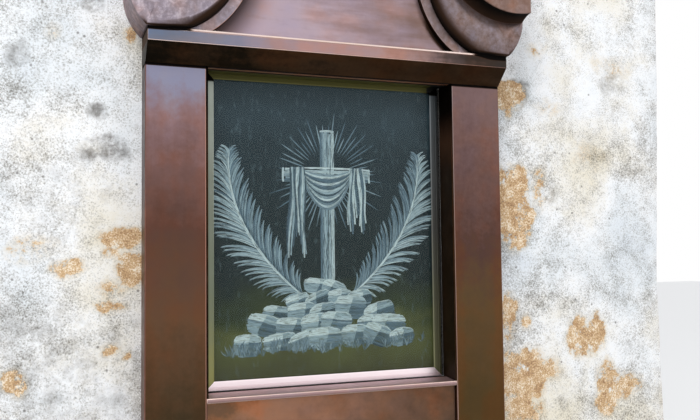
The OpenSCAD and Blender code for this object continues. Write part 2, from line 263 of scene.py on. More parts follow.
def set_values(mesh: Mesh, name: str, values: Any) -> None:
    """Stores a number or a vector for each point of a mesh.

    Args:
        mesh: The mesh.
        name: The attribute's name.
        values: What the first points get; the rest get 0.
    """
    given = np.asarray(values)
    full = np.zeros((len(mesh.vertices), *given.shape[1:]), dtype=np.float32)
    full[:len(given)] = given
    kind, key = ("FLOAT", "value") if given.ndim == 1 else ("FLOAT_VECTOR", "vector")
    mesh.attributes.new(name, kind, "POINT").data.foreach_set(key, full.ravel())


def quads(rows: int, count: int) -> list[Face]:
    """Joins rows of points, each closed on itself, with four-sided faces.

    Args:
        rows: Number of rows.
        count: Points in a row.

    Returns:
        Point indices of each face.
    """
    return [(a + k, a + (k + 1) % count, a + count + (k + 1) % count, a + count + k)
            for a in range(0, (rows - 1) * count, count) for k in range(count)]


def closed_piece(name: str, points: Any, faces: Any, material: Material, slot: str,
                 nodes: Iterable[str] = (), sharp: float = 0.0, merge: float = 0.0,
                 **values: Any) -> None:
    """Makes and finishes a piece with a closed skin, its faces turned outwards.

    Args:
        name: The piece's name.
        points: Places in metres.
        faces: Point indices of each face.
        material: Its material.
        slot: The record's material slot; not used.
        nodes: The CAD nodes that it stands for.
        sharp: Edges over this angle in degrees stay sharp; 0 leaves all faces flat.
        merge: Points this close, in metres, are merged.
        values: What set_values stores, by attribute name.
    """
    mesh = mesh_from(name, points, faces)
    shape = bmesh.new()
    shape.from_mesh(mesh)
    if merge:
        bmesh.ops.remove_doubles(shape, verts=shape.verts, dist=merge)
    bmesh.ops.recalc_face_normals(shape, faces=shape.faces)
    shape.to_mesh(mesh)
    shape.free()
    for attribute, numbers in values.items():
        set_values(mesh, attribute, numbers)
    if sharp:
        mesh.shade_smooth()
        mesh.set_sharp_from_angle(angle=math.radians(sharp))
    mesh.materials.append(material)
    finish_piece(link_object(name, mesh), nodes)


class Side(Enum):
    """Which half of the front a piece lies on."""

    LEFT = -1
    RIGHT = 1

    @property
    def word(self) -> str:
        """The side's name as it stands in the names of pieces."""
        return self.name.lower()


# Finishes


@dataclass(frozen=True)
class LimePlaster:
    """Lime plaster, floated by hand and limewashed, worn by decades of rain.

    The wash has weathered to white and grey clouds full of fine dark grains. Where the finish
    coat has come off, the sandy undercoat shows with a crumbling edge, and soot and damp leave
    grey stains. The real grain is 1 to 3 mm wide; it is drawn at 5 mm, so that it shows.
    """

    name: str = "lime plaster, limewashed and weathered"
    cloud_mm: float = 420.0
    blot_mm: float = 95.0
    grain_mm: float = 4.8
    pit_gap_mm: float = 58.0
    wash: Stops = ((0.20, "#7b7872"), (0.30, "#a3a19c"), (0.38, "#c6c5c3"), (0.45, "#dddddc"),
                   (0.57, "#f5f6f7"))
    film: Stops = ((0.30, "#f1e8d3"), (0.42, "#faf6ee"), (0.50, "#ffffff"), (0.62, "#eff3f6"),
                   (0.74, "#e1e7ed"))
    sand: Stops = ((0.28, "#94755a"), (0.42, "#bb9770"), (0.54, "#d7b88f"), (0.66, "#f3e7d4"))

    def ragged(self, add: Adder, place: Socket, name: str) -> Node:
        """Breaks up a stored attribute, so that its outline crumbles.

        Args:
            add: What adds a node.
            place: Object coordinates.
            name: The attribute's name.

        Returns:
            Nought away from the mark, and a quarter or more inside its outline.
        """
        stored = add("Attribute", attribute_name=name).outputs["Fac"]
        broken = layered(add, 0.5, (place, self.blot_mm * 0.6, 2.2, 0.65),
                         (place, self.grain_mm * 2.5, 0.8, 0.6), (place, self.grain_mm, 0.8, 0.6))
        return add("Math", {0: stored, 1: broken}, operation="MULTIPLY")

    def build(self) -> Material:
        """Makes the material.

        Returns:
            The material, which reads the attributes lost_coat and stain.
        """
        material, add, shader, place = start_material(self.name)
        blot, grain = self.blot_mm, self.grain_mm
        height = add("SeparateXYZ", {"Vector": place}).outputs["Z"]
        clean = add("MapRange", {"Value": height, "From Min": 1.0, "From Max": 2.4,
                                 "To Min": 0.475, "To Max": 0.53})
        tone = layered(add, clean, (place, self.cloud_mm, 0.65, 0.62), (place, blot, 0.65, 0.7),
                       (place, grain, 1.0, 0.62))
        wash = add("ValToRGB", {"Fac": tone}, self.wash)
        tone = layered(add, 0.5, (place, self.cloud_mm * 1.4, 1.2, 0.6),
                       (place, grain * 1.6, 0.15, 0.6))
        film = add("ValToRGB", {"Fac": tone}, self.film)
        coat = add("Mix", {"Factor": 0.9, "A": wash, "B": film}, **TINT)
        lost = self.ragged(add, place, "lost_coat")
        pits = add("TexVoronoi", {"Vector": place, "Scale": 1 / (self.pit_gap_mm * MM)})
        for mark, start, end, share, colour in (
                (self.ragged(add, place, "stain"), 0.14, 0.6, 1.0, "#a09d9a"),
                (lost, 0.05, 0.25, 0.5, "#e2cda9"), (pits, 0.10, 0.04, 0.75, "#6f6b65")):
            spread = add("MapRange", {"Value": mark, "From Min": start, "From Max": end,
                                      "To Max": share})
            coat = add("Mix", {"Factor": spread, "A": coat, "B": linear(colour)}, **TINT)
        tone = layered(add, 0.5, (place, grain, 1.0, 0.62), (place, blot * 0.45, 0.7, 0.6))
        sand = add("ValToRGB", {"Fac": tone}, self.sand)
        crumbled = add("MapRange", {"Value": lost, "From Min": 0.22, "From Max": 0.27})
        surface = add("Mix", {"Factor": crumbled, "A": coat, "B": sand}, **COLOURS)
        relief = add("Math", {0: crumbled, 1: -0.5, 2: layered(add, 0.5, (place, blot, 1.0, 0.62))},
                     operation="MULTIPLY_ADD")
        swell = add("Bump", {"Height": relief, "Strength": 0.4, "Distance": 0.005})
        rough = add("Bump", {"Height": tone, "Strength": 0.3, "Distance": 0.002, "Normal": swell})
        feed(shader, {"Base Color": surface, "Roughness": 0.93, "Specular IOR Level": 0.25,
                      "Normal": rough})
        return material


@dataclass(frozen=True)
class PatinatedCopper:
    """Copper sheet, darkened with a brushed-on patina and waxed.

    The tone runs along an axis through browns to a purplish grey, and brushing leaves streaks
    and cloudy blotches, some warmer and some cooler. A stored value darkens the copper to brown
    and then nearly black, and makes it matt: partly patina kept in hollows, partly painted shade
    in creases, under lips and on faces that other parts shade. The wax gives the rest a soft
    shine.
    """

    name: str
    stops: Stops
    axis: tuple[float, float, float] = UP
    start: float = 0.9
    end: float = 2.15
    streak: tuple[float, float, float] = (34.0, 34.0, 620.0)
    shares: tuple[float, float, float] = (0.28, 0.4, 0.18)
    blotch_mm: float = 170.0
    mottle_mm: float = 20.0
    roughness: float = 0.4
    dent_mm: float = 0.0
    metallic: float = 0.85
    hue: float = 0.45
    hues: Stops = ((0.32, "#aab4c6"), (0.5, "#bcbcbc"), (0.68, "#d3b192"))
    patina_and_shade: Stops = ((0.38, "#412d21"), (0.85, "#0b0705"))

    def build(self) -> Material:
        """Makes the material.

        Returns:
            The material, which reads warmth and the value of patina and painted shade.
        """
        material, add, shader, place = start_material(self.name)
        drawn = add("Mapping", {"Vector": place, "Scale": tuple(1 / s for s in self.streak)})
        along = add("VectorMath", {0: place, 1: self.axis}, operation="DOT_PRODUCT")
        run = add("MapRange", {"Value": along, "From Min": self.start, "From Max": self.end})
        streak, blotch, mottle = self.shares
        tone = layered(add, run, (drawn, 1.0, streak, 0.6), (place, self.blotch_mm, blotch, 0.55),
                       (place, self.mottle_mm, mottle, 0.7))
        colour = add("ValToRGB", {"Fac": tone}, self.stops)
        warm = add("Attribute", attribute_name="warmth").outputs["Fac"]
        warmth = layered(add, add("Math", {0: warm, 1: 0.5}), (drawn, 1.9, 0.7, 0.5),
                         (place, self.blotch_mm * 0.6, 0.9, 0.5))
        hue = add("ValToRGB", {"Fac": warmth}, self.hues)
        tinted = add("Mix", {"Factor": self.hue, "A": colour, "B": hue}, data_type="RGBA",
                     blend_type="OVERLAY")
        # Patina in hollows and painted shade: shadows under lips, dark creases and shaded faces.
        hollow = add("Attribute", attribute_name="hollow").outputs["Fac"]
        patina_and_shade_colour = add("ValToRGB", {"Fac": hollow}, self.patina_and_shade)
        filled = add("MapRange", {"Value": hollow, "From Max": 0.38})
        surface = add("Mix", {"Factor": filled, "A": tinted, "B": patina_and_shade_colour}, **COLOURS)
        cloudy = layered(add, 0.5, (place, self.blotch_mm, 1.0, 0.55))
        dull = add("MapRange", {"Value": cloudy, "From Min": 0.3, "From Max": 0.7,
                                "To Min": self.roughness - 0.07, "To Max": self.roughness + 0.1})
        matt = add("Mix", {"Factor": filled, "A": dull, "B": 0.95})
        wave = add("Bump", {"Height": cloudy, "Strength": 0.2, "Distance": 0.003})
        normal = add("Bump", {"Height": tone, "Strength": 0.1, "Distance": 0.001, "Normal": wave})
        if self.dent_mm:
            dents = add("TexVoronoi", {"Vector": place, "Scale": 1 / (self.dent_mm * MM),
                                       "Smoothness": 0.7}, feature="SMOOTH_F1")
            normal = add("Bump", {"Height": dents, "Strength": 0.35, "Distance": 0.003,
                                  "Normal": normal})
        feed(shader, {"Base Color": surface, "Metallic": self.metallic, "Roughness": matt,
                      "Normal": normal})
        return material


@dataclass(frozen=True)
class SatinAluminium:
    """Aluminium section, drawn and anodised to a satin, its tone a painted reflection.

    Its tone runs along the height, painted as the surroundings it reflects; fine lines from the
    drawing catch the light, and the end under the cornice is painted black as its shadow.
    """

    name: str
    stops: Stops
    start: float = 1.1
    end: float = 2.2
    line_mm: float = 0.9
    metallic: float = 1.0
    shadow_axis: tuple[float, float, float] = UP
    shadow_from: float = 9.0

    def build(self) -> Material:
        """Makes the material.

        Returns:
            The material, in object coordinates.
        """
        material, add, shader, place = start_material(self.name)
        height = add("SeparateXYZ", {"Vector": place}).outputs["Z"]
        rise = add("MapRange", {"Value": height, "From Min": self.start, "From Max": self.end})
        tone = layered(add, rise, (place, 110.0, 0.35, 0.5), (place, 6.0, 0.1, 0.5))
        colour = add("ValToRGB", {"Fac": tone}, self.stops)
        # Painted shadow: black beyond the given place, where the cornice shades the trim.
        along = add("VectorMath", {0: place, 1: self.shadow_axis}, operation="DOT_PRODUCT")
        black = add("MapRange", {"Value": along, "From Min": self.shadow_from,
                                 "From Max": self.shadow_from + 0.004})
        surface = add("Mix", {"Factor": black, "A": colour, "B": linear("#0a0a08")}, **COLOURS)
        lines = layered(add, 0.5, (place, self.line_mm, 1.0, 0.4))
        bump = add("Bump", {"Height": lines, "Strength": 0.05, "Distance": 0.0005})
        feed(shader, {"Base Color": surface, "Metallic": self.metallic, "Roughness": 0.34,
                      "Normal": bump})
        return material


@dataclass(frozen=True)
class WroughtIron:
    """Wrought iron, forged and blackened, with hammer marks and a trace of rust.

    The same marks serve for run solder in pale grey and for sealant in black.
    """

    name: str = "wrought iron, forged and blackened"
    mark_mm: float = 18.0
    marks: Stops = ((0.35, "#1d1b1a"), (0.6, "#2b2725"), (0.75, "#4c3224"))
    metallic: float = 0.7

    def build(self) -> Material:
        """Makes the material.

        Returns:
            The material, in object coordinates.
        """
        material, add, shader, place = start_material(self.name)
        tone = layered(add, 0.5, (place, self.mark_mm, 1.0, 0.5))
        colour = add("ValToRGB", {"Fac": tone}, self.marks)
        bump = add("Bump", {"Height": tone, "Strength": 0.4, "Distance": 0.002})
        feed(shader, {"Base Color": colour, "Metallic": self.metallic, "Roughness": 0.55,
                      "Normal": bump})
        return material


@dataclass(frozen=True)
class GroundPaint:
    """Dark oil ground on a board, brushed on, blue-black above.

    The olive at the foot and the pale flecks are painted reflections of grass and leaves.
    """

    low_z: float
    high_z: float
    name: str = "oil paint, dark ground, brushed"
    stops: Stops = ((0.02, "#5c5838"), (0.14, "#6d6b40"), (0.22, "#454a30"), (0.36, "#293132"),
                    (0.7, "#303a41"), (0.95, "#404c56"))

    def colour(self, add: Adder, place: Socket) -> Node:
        """Adds the ground's colour.

        Args:
            add: What adds a node.
            place: Object coordinates.

        Returns:
            The colour.
        """
        height = add("SeparateXYZ", {"Vector": place}).outputs["Z"]
        rise = add("MapRange", {"Value": height, "From Min": self.low_z, "From Max": self.high_z})
        drawn = add("Mapping", {"Vector": place, "Scale": (1.0, 1.0, 0.4)})
        ramp = add("ValToRGB", {"Fac": layered(add, rise, (place, 140.0, 0.3, 0.6))}, self.stops)
        # Pale flecks: painted reflections of leaves.
        painted_leaf_glints = add("MapRange", {"Value": layered(add, 0.5, (drawn, 14.0, 1.0, 0.7)),
                                 "From Min": 0.56, "From Max": 0.8, "To Max": 0.4})
        return add("Mix", {"Factor": painted_leaf_glints, "A": ramp, "B": linear("#8fa0a8")}, **COLOURS)

    def build(self) -> Material:
        """Makes the material.

        Returns:
            The material, in object coordinates.
        """
        material, add, shader, place = start_material(self.name)
        feed(shader, {"Base Color": self.colour(add, place), "Roughness": 0.5,
                      "Specular IOR Level": 0.2})
        return material


@dataclass(frozen=True)
class StrokePaint:
    """Pale oil paint, laid with a dry bristle brush, so that the ground shows in the strokes."""

    ground: GroundPaint
    name: str = "oil paint, pale blue-white, dry brushed"
    stops: Stops = ((0.0, "#36434f"), (0.35, "#76899a"), (0.7, "#bccad5"), (1.0, "#f4f8fb"))

    def build(self) -> Material:
        """Makes the material.

        Returns:
            The material, which reads the attributes along and shade.
        """
        material, add, shader, place = start_material(self.name)
        along = add("Attribute", attribute_name="along").outputs["Vector"]
        shade = add("Attribute", attribute_name="shade").outputs["Fac"]
        pale = add("ValToRGB", {"Fac": shade}, self.stops)
        cover = add("MapRange", {"Value": layered(add, 0.5, (along, 1000.0, 1.0, 0.6)),
                                 "From Min": 0.36, "From Max": 0.5, "To Min": 0.12})
        mixed = add("Mix", {"Factor": cover, "A": self.ground.colour(add, place), "B": pale},
                    **COLOURS)
        feed(shader, {"Base Color": mixed, "Roughness": 0.5, "Specular IOR Level": 0.2})
        return material


@dataclass(frozen=True)
class CoverGlass:
    """Float glass with a coating that takes most of its reflection away."""

    name: str = "float glass, anti-reflection coated"
    ior: float = 1.2
    veil: str = "#f2f7f6"

    def build(self) -> Material:
        """Makes the material.

        Returns:
            The material: clear, with a faint mirror image.
        """
        material = bpy.data.materials.new(self.name)
        material.use_nodes = True
        material.node_tree.nodes.clear()
        add = partial(add_node, material.node_tree)
        clear = add("BsdfTransparent", {"Color": linear(self.veil)})
        mirror = add("BsdfGlossy", {"Roughness": 0.03})
        mixed = add("MixShader", {0: add("Fresnel", {"IOR": self.ior}), 1: clear, 2: mirror})
        add("OutputMaterial", {"Surface": mixed})
        return material


class Finishes:
    """Every material of the shrine, built once."""

    def __init__(self, panel: tuple[Vector, Vector]) -> None:
        """Builds the materials.

        Args:
            panel: Lowest and highest corner of the picture board.
        """
        self.plaster = LimePlaster().build()
        # On the pilasters the lighter, greyer tone at the top is a painted sky reflection.
        self.pilaster = {
            Side.LEFT: self.copper(
                "brushed patina, left", (0.0, "#281f13"), (0.15, "#3c2e1b"), (0.35, "#5e432f"),
                (0.6, "#573c33"), (0.78, "#6f524d"), (0.9, "#856a6c"), (1.02, "#878494"),
                shares=(0.1, 0.26, 0.12), hue=0.36),
            Side.RIGHT: self.copper(
                "brushed patina, right", (0.0, "#463418"), (0.14, "#4a371b"), (0.36, "#523d24"),
                (0.57, "#4a322a"), (0.8, "#5f4641"), (0.98, "#6d544f"), shares=(0.18, 0.4, 0.3),
                hue=0.55)}
        self.flank = self.copper("flank", (0.0, "#5d4130"), (1.0, "#4a3f40"))
        self.ends = self.copper("folded ends", (0.0, "#70736a"), (0.5, "#5b4a40"),
                                (1.0, "#40332c"), axis=ACROSS, start=-0.7, end=0.7)
        self.rail = self.copper(
            "brushed patina, crosswise", (0.0, "#664b37"), (0.1, "#80593f"), (0.24, "#8f6750"),
            (0.4, "#8a624c"), (0.62, "#73523f"), (0.95, "#553e2e"), axis=ACROSS, start=-0.45,
            end=0.45, streak=(80.0, 60.0, 60.0), shares=(0.5, 0.4, 0.2), hue=0.6)
        # The fascia goes nearly black towards its right end: painted shadow of the right scroll.
        self.cornice = self.copper(
            "folded", (0.02, "#657086"), (0.2, "#7b7b8b"), (0.42, "#9f868a"), (0.62, "#9c7f7c"),
            (0.73, "#7d6460"), (0.81, "#4a3c38"), (0.9, "#29221e"), axis=ACROSS, start=-0.66,
            end=0.66, shares=(0.2, 0.2, 0.1), streak=(420.0, 60.0, 30.0), roughness=0.36)
        # The pale folds are partly rubbed bare copper and partly a painted highlight.
        self.edge = self.copper(
            "rubbed fold, painted highlight", (0.1, "#e0c8c0"), (0.6, "#c9aaa0"), (0.8, "#8d6f64"), (1.0, "#6b5248"),
            axis=ACROSS, start=-0.7, end=0.7, roughness=0.33, shares=(0.2, 0.2, 0.1), hue=0.2)
        # The bright cover is partly rubbed bare copper and partly a painted highlight.
        self.cover = self.copper(
            "rubbed cover, painted highlight", (0.1, "#b9988e"), (0.5, "#dcc3ba"), (0.9, "#ecdbd4"), roughness=0.33,
            shares=(0.3, 0.3, 0.2), start=-1.0, end=4.0, hue=0.15)
        self.sill = self.copper("rubbed sill", (0.1, "#a78b8c"), (0.9, "#b59a9c"), hue=0.2)
        # Pale on the folds that catch the light, dark on the others: a painted highlight.
        self.fold = self.copper(
            "waxed fold, painted highlight", (0.0, "#6f4f48"), (0.15, "#a37f72"), (0.8, "#93807c"), (1.0, "#6d5348"),
            axis=ACROSS, start=-0.63, end=0.63, roughness=0.36, shares=(0.1, 0.1, 0.1), hue=0.3)
        # Partly dark patina, partly painted shade on the bed, the reveals and the strips' sides.
        self.dark = self.copper(
            "dark patina and painted shade", (0.1, "#080604"), (0.38, "#15110b"), (0.56, "#37271a"),
            (0.75, "#281a0e"), axis=ACROSS, start=-2.0, end=1.6, roughness=0.5,
            streak=(300.0, 60.0, 60.0), shares=(0.45, 0.35, 0.3), metallic=1.0)
        self.soffit = self.copper("soffit", (0.2, "#6a4630"), (0.8, "#8d6148"), metallic=0.6)
        self.tympanum = self.copper(
            "smooth patina", (0.1, "#b09ba5"), (0.4, "#ab98a1"), (0.6, "#927d81"),
            (0.8, "#7d655f"), (1.0, "#6b4f45"), axis=ACROSS, start=-1.0, end=0.85,
            shares=(0.6, 0.4, 0.1), streak=(260.0, 80.0, 42.0), roughness=0.42, hue=0.35)
        # Lighter at the left, darker at the right: painted light falling from the left.
        self.hammered = self.copper(
            "hammered", (0.0, "#b6aab2"), (0.18, "#988c94"), (0.33, "#8c8087"), (0.6, "#7e6e6d"),
            (0.85, "#6d5a55"), (1.0, "#5b483f"), axis=ACROSS, start=-1.05, end=1.35,
            shares=(0.2, 0.4, 1.3), hue=0.32, streak=(70.0, 70.0, 70.0), blotch_mm=110.0,
            dent_mm=22.0, roughness=0.47)
        self.coil = self.copper(
            "hammered and rubbed", (0.1, "#4c3a33"), (0.5, "#72594f"), (0.9, "#8a746e"),
            axis=ACROSS, start=-3.0, end=3.0, shares=(0.3, 0.6, 1.0), streak=(70.0, 70.0, 70.0),
            blotch_mm=90.0, dent_mm=22.0, roughness=0.45)
        self.roof = self.copper(
            "weathered roof", (0.1, "#35261e"), (0.5, "#5b4034"), (0.85, "#7c665b"), start=2.6,
            end=4.4, shares=(0.4, 0.8, 0.24), streak=(60.0, 420.0, 420.0), roughness=0.5)
        self.iron = WroughtIron().build()
        # Each side's tone is a painted reflection; the black ends are painted shadow.
        self.trim = {word: SatinAluminium("aluminium, satin, " + look, stops, **more).build()
                     for word, look, stops, more in (
            ("top", "olive, painted reflection", ((0.3, "#3b3913"), (0.9, "#464419")),
             {"metallic": 0.6, "shadow_axis": ACROSS, "shadow_from": 0.381}),
            ("bottom", "clean", ((0.1, "#fbebef"), (0.9, "#f0dade")), {}),
            ("left", "silver", ((0.05, "#858253"), (0.3, "#707664"), (0.6, "#787d71"),
                                (0.85, "#91978f")), {"shadow_from": 2.125}),
            ("right", "grey", ((0.05, "#77775a"), (0.5, "#636360"), (0.9, "#6c7276")),
             {"shadow_from": 2.124}))}
        self.solder = WroughtIron("tin solder, weathered", marks=(
            (0.3, "#a89d98"), (0.5, "#d8c9c2"), (0.7, "#efe4de"))).build()
        self.sealant = WroughtIron("butyl sealant, black", metallic=0.0, marks=(
            (0.3, "#0b0a09"), (0.7, "#1a1714"))).build()
        ground = GroundPaint(panel[0][2], panel[1][2])
        self.ground = ground.build()
        self.strokes = StrokePaint(ground).build()
        self.glass = CoverGlass().build()

    def copper(self, look: str, *stops: tuple[float, str], **more: Any) -> Material:
        """Builds a copper from its name, the stops of its tone and what else differs."""
        return PatinatedCopper("copper sheet, " + look, stops, **more).build()


# Masonry


@dataclass(frozen=True)
class Spot:
    """A blemish of the front: centre, half sizes, strength."""

    x: float
    z: float
    half_w: float
    half_h: float
    strength: float = 1.0


LOST_COAT = [Spot(*row) for row in (
    (-0.67, 1.61, 0.073, 0.03), (-0.72, 1.57, 0.021, 0.019, 0.8), (-0.65, 1.51, 0.05, 0.052),
    (-0.72, 1.45, 0.046, 0.028), (-0.73, 1.4, 0.06, 0.028, 0.55), (-0.85, 1.52, 0.052, 0.029, 0.6),
    (-0.96, 1.58, 0.067, 0.045, 0.5), (-0.99, 1.18, 0.034, 0.037, 0.9),
    (-0.72, 1.26, 0.028, 0.02, 0.6), (-0.67, 1.24, 0.012, 0.015, 0.7),
    (-0.66, 2.26, 0.021, 0.026, 1.1), (-0.89, 2.25, 0.03, 0.03, 0.38), (0.73, 2.15, 0.057, 0.059),
    (0.74, 1.75, 0.072, 0.142), (0.81, 1.69, 0.033, 0.034, 0.9), (0.86, 1.79, 0.054, 0.1, 0.5),
    (0.71, 1.32, 0.045, 0.082, 1.2), (0.78, 1.29, 0.026, 0.034, 0.8), (1.02, 1.24, 0.046, 0.06),
    (1.11, 1.24, 0.044, 0.068), (1.06, 1.21, 0.08, 0.055), (0.77, 1.09, 0.128, 0.09),
    (0.74, 0.97, 0.105, 0.055, 0.9), (1.15, 1.01, 0.054, 0.1, 0.9),
    (1.26, 1.02, 0.073, 0.049, 0.75), (1.1, 1.93, 0.085, 0.055, 0.38),
    (1.21, 2.29, 0.11, 0.05, 0.31), (0.9, 2.11, 0.07, 0.055, 0.36),
    (0.85, 2.33, 0.06, 0.045, 0.37), (-1.3, 0.62, 0.16, 0.13, 0.85), (0.2, 0.52, 0.25, 0.1, 0.7),
    (1.3, 0.5, 0.12, 0.12, 0.85), (-1.28, 2.55, 0.1, 0.12, 0.6), (1.25, 2.75, 0.12, 0.07, 0.6))]
STAINS = [Spot(*row) for row in (
    (-0.77, 2.01, 0.033, 0.03), (-0.74, 1.89, 0.072, 0.04), (-0.99, 2.17, 0.038, 0.043, 0.6),
    (-0.77, 2.35, 0.036, 0.025), (0.77, 2.17, 0.049, 0.058, 0.9), (1.2, 2.22, 0.08, 0.06, 0.5),
    (1.28, 1.18, 0.029, 0.024, 0.6), (0.9, 1.77, 0.045, 0.066, 0.5), (-0.95, 1.15, 0.42, 0.3, 0.42),
    (-0.85, 1.75, 0.2, 0.2, 0.3), (-1.0, 0.6, 0.6, 0.3, 0.5), (0.95, 1.02, 0.08, 0.12, 0.25))]


@dataclass
class PlasterBand:
    """A stretch of plastered masonry, swept round the rounded corners of its plan.

    Each row of the profile is a height and how far the face lies inside the node's box. The
    hole is a niche: its two X, two heights and depth. Calm areas, given alike, stay even. The
    plaster waves and ripples, its finish coat has a thickness and its corners are chipped, each
    by a depth and mostly with a cell width; chips and calm areas end over the fade.
    """

    node: str
    rows: list[tuple[float, float]]
    low: Vector
    high: Vector
    corner_r: float = 0.01
    step: float = 0.014
    far_step: float = 0.03
    wave: float = 0.0045
    wave_cell: float = 0.35
    ripple: float = 0.0012
    ripple_cell: float = 0.04
    coat: float = 0.0035
    wear_cell: float = 0.42
    chip: float = 0.006
    chip_cell: float = 0.22
    fade: float = 0.05
    lean: Sequence[tuple[float, float]] = ((0.0, 0.0),)
    hole: tuple[float, ...] = ()
    calm: Sequence[tuple[float, float, float, float]] = ()
    patches: Sequence[Spot] = ()
    stains: Sequence[Spot] = ()

    def stations(self, breaks: Sequence[float], step: float) -> list[float]:
        """Divides the stretches between break points evenly.

        Args:
            breaks: Increasing break points, all of which are kept.
            step: The widest step allowed.

        Returns:
            The stations, from the first break to the last.
        """
        out = [breaks[0]]
        for start, end in zip(breaks, breaks[1:]):
            count = max(1, math.ceil((end - start) / step - HAIR))
            out += [start + (end - start) * k / count for k in range(1, count + 1)]
        return out

    def plan(self) -> np.ndarray:
        """Lays out the plan's outline, with rounded corners.

        Returns:
            Rows of x, y and the two parts of the outward normal, counter-clockwise from above.
        """
        (x0, y0), (x1, y1), r = self.low[:2], self.high[:2], self.corner_r
        rows = []
        for nx, ny, start, end, far in ((0, -1, x0, x1, -y0), (1, 0, y0, y1, x1),
                                        (0, 1, -x1, -x0, y1), (-1, 0, -y1, -y0, -x0)):
            breaks = [start + r, *(self.hole[:2] if ny < 0 else ()), end - r]
            rows += [(nx * far - ny * s, ny * far + nx * s, nx, ny)
                     for s in self.stations(breaks, self.step if ny < 0 else self.far_step)]
            for a in math.atan2(ny, nx) + math.pi / 8 * np.arange(1, 4):
                x, y = math.cos(a), math.sin(a)
                rows.append((nx * (far - r) - ny * (end - r) + r * x,
                             ny * (far - r) + nx * (end - r) + r * y, x, y))
        return np.array(rows)

    def spots(self, points: np.ndarray, spots: Sequence[Spot], base: Any = 0.0) -> np.ndarray:
        """Works out how strongly each place is marked by spots with ragged outlines.

        Args:
            points: Places in metres.
            spots: The spots, on the front.
            base: What lies there without them.

        Returns:
            0 away from the spots, up to their strength in the middle.
        """
        ragged = 0.65 * Noise(23).layers(points, 0.08, 4)
        total = np.zeros(len(points)) + base
        for p in spots:
            away = np.hypot((points[:, 0] - p.x) / p.half_w, (points[:, 2] - p.z) / p.half_h)
            spot = p.strength * (1 - ease(0.35, 1.6, away + ragged))
            total = np.maximum(total, spot * (points[:, 1] < FRONT_Y))
        return total

    def build(self, material: Material) -> None:
        """Builds the band in plaster that is wavy, worn beside and behind, and chipped.

        Args:
            material: The plaster.
        """
        plan = self.plan()
        heights, inset = np.array(self.rows).T
        low, high = np.array(self.low[:2]), np.array(self.high[:2])
        way = (plan[:, :2] - (low + high) / 2) / ((high - low) / 2 - self.corner_r)
        points = np.zeros((len(heights), len(plan), 3))
        points[:, :, :2] = plan[:, :2] - np.clip(way, -1, 1) * inset[:, None, None]
        points[:, :, 2] = heights[:, None]
        flat = points.reshape(-1, 3)
        x, y, z = flat.T
        noise = Noise(11)
        beside = np.where(y > 0.08, 1.0, 0.3)
        worn = 0.7 * ease(0.25, 0.8, noise.layers(flat + 31.0, self.wear_cell, 4)) * beside
        lost = self.spots(flat, self.patches, worn)
        sink = self.wave * (0.5 + 0.5 * noise.layers(flat, self.wave_cell, 3))
        sink += self.ripple * (0.5 + 0.5 * noise.layers(flat + 5.0, self.ripple_cell, 2))
        sink += self.coat * ease(0.35, 0.6, lost)
        corner = np.minimum(abs(x - self.low[0]), abs(x - self.high[0])) \
            + np.minimum(abs(y - self.low[1]), abs(y - self.high[1]))
        chipped = 0.5 + 0.5 * noise.layers(flat + 17.0, self.chip_cell, 4)
        sink += self.chip * (1 - ease(0.0, self.fade, corner)) * chipped
        for x0, x1, z0, z1 in self.calm:
            gap = np.maximum.reduce([x0 - x, x - x1, z0 - z, z - z1])
            sink *= np.where(y < FRONT_Y, ease(0.0, self.fade, gap), 1.0)
        flat[:, :2] -= np.tile(plan[:, 2:], (len(heights), 1)) * sink[:, None]
        stain = self.spots(flat, self.stains)
        leaning = (1 - ease(0.0, 0.5, self.high[0] - x)) * (1 - ease(0.2, 0.8, y))
        flat[:, 0] -= np.interp(z, *zip(*self.lean)) * leaning
        closed_piece(self.node + "_plaster", *self.skin(flat, plan, heights), material,
                     "lime_plaster", [self.node], 40, lost_coat=lost, stain=stain)

    def skin(self, flat: np.ndarray, plan: np.ndarray,
             heights: np.ndarray) -> tuple[np.ndarray, list[Face]]:
        """Joins the rows into a closed skin, with the niche where the band has one.

        Args:
            flat: Every point of the rows.
            plan: The plan's outline.
            heights: Height of each row.

        Returns:
            Its points and faces.
        """
        index = np.arange(len(flat)).reshape(len(heights), len(plan))
        faces = quads(*index.shape)
        caps = [tuple(index[0, ::-1]), tuple(index[-1])]
        if not self.hole:
            return flat, faces + caps
        x0, x1, z0, z1, deep = self.hole
        columns = (plan[:, 3] == -1) & (plan[:, 0] > x0 - HAIR) & (plan[:, 0] < x1 + HAIR)
        levels = (heights > z0 - HAIR) & (heights < z1 + HAIR)
        mouth = index[np.ix_(levels, columns)]
        inside = set(mouth.ravel())
        faces = [f for f in faces if not inside.issuperset(f)]
        rim = [*mouth[0], *mouth[1:, -1], *mouth[-1, -2::-1], *mouth[-2:0:-1, 0]]
        back = flat[rim]
        back[:, 1] = deep
        first, total = len(flat), len(rim)
        faces += caps + [(rim[k], first + k, first + (k + 1) % total, rim[(k + 1) % total])
                         for k in range(total)]
        return np.concatenate([flat, back]), faces + [tuple(range(first, first + total))]


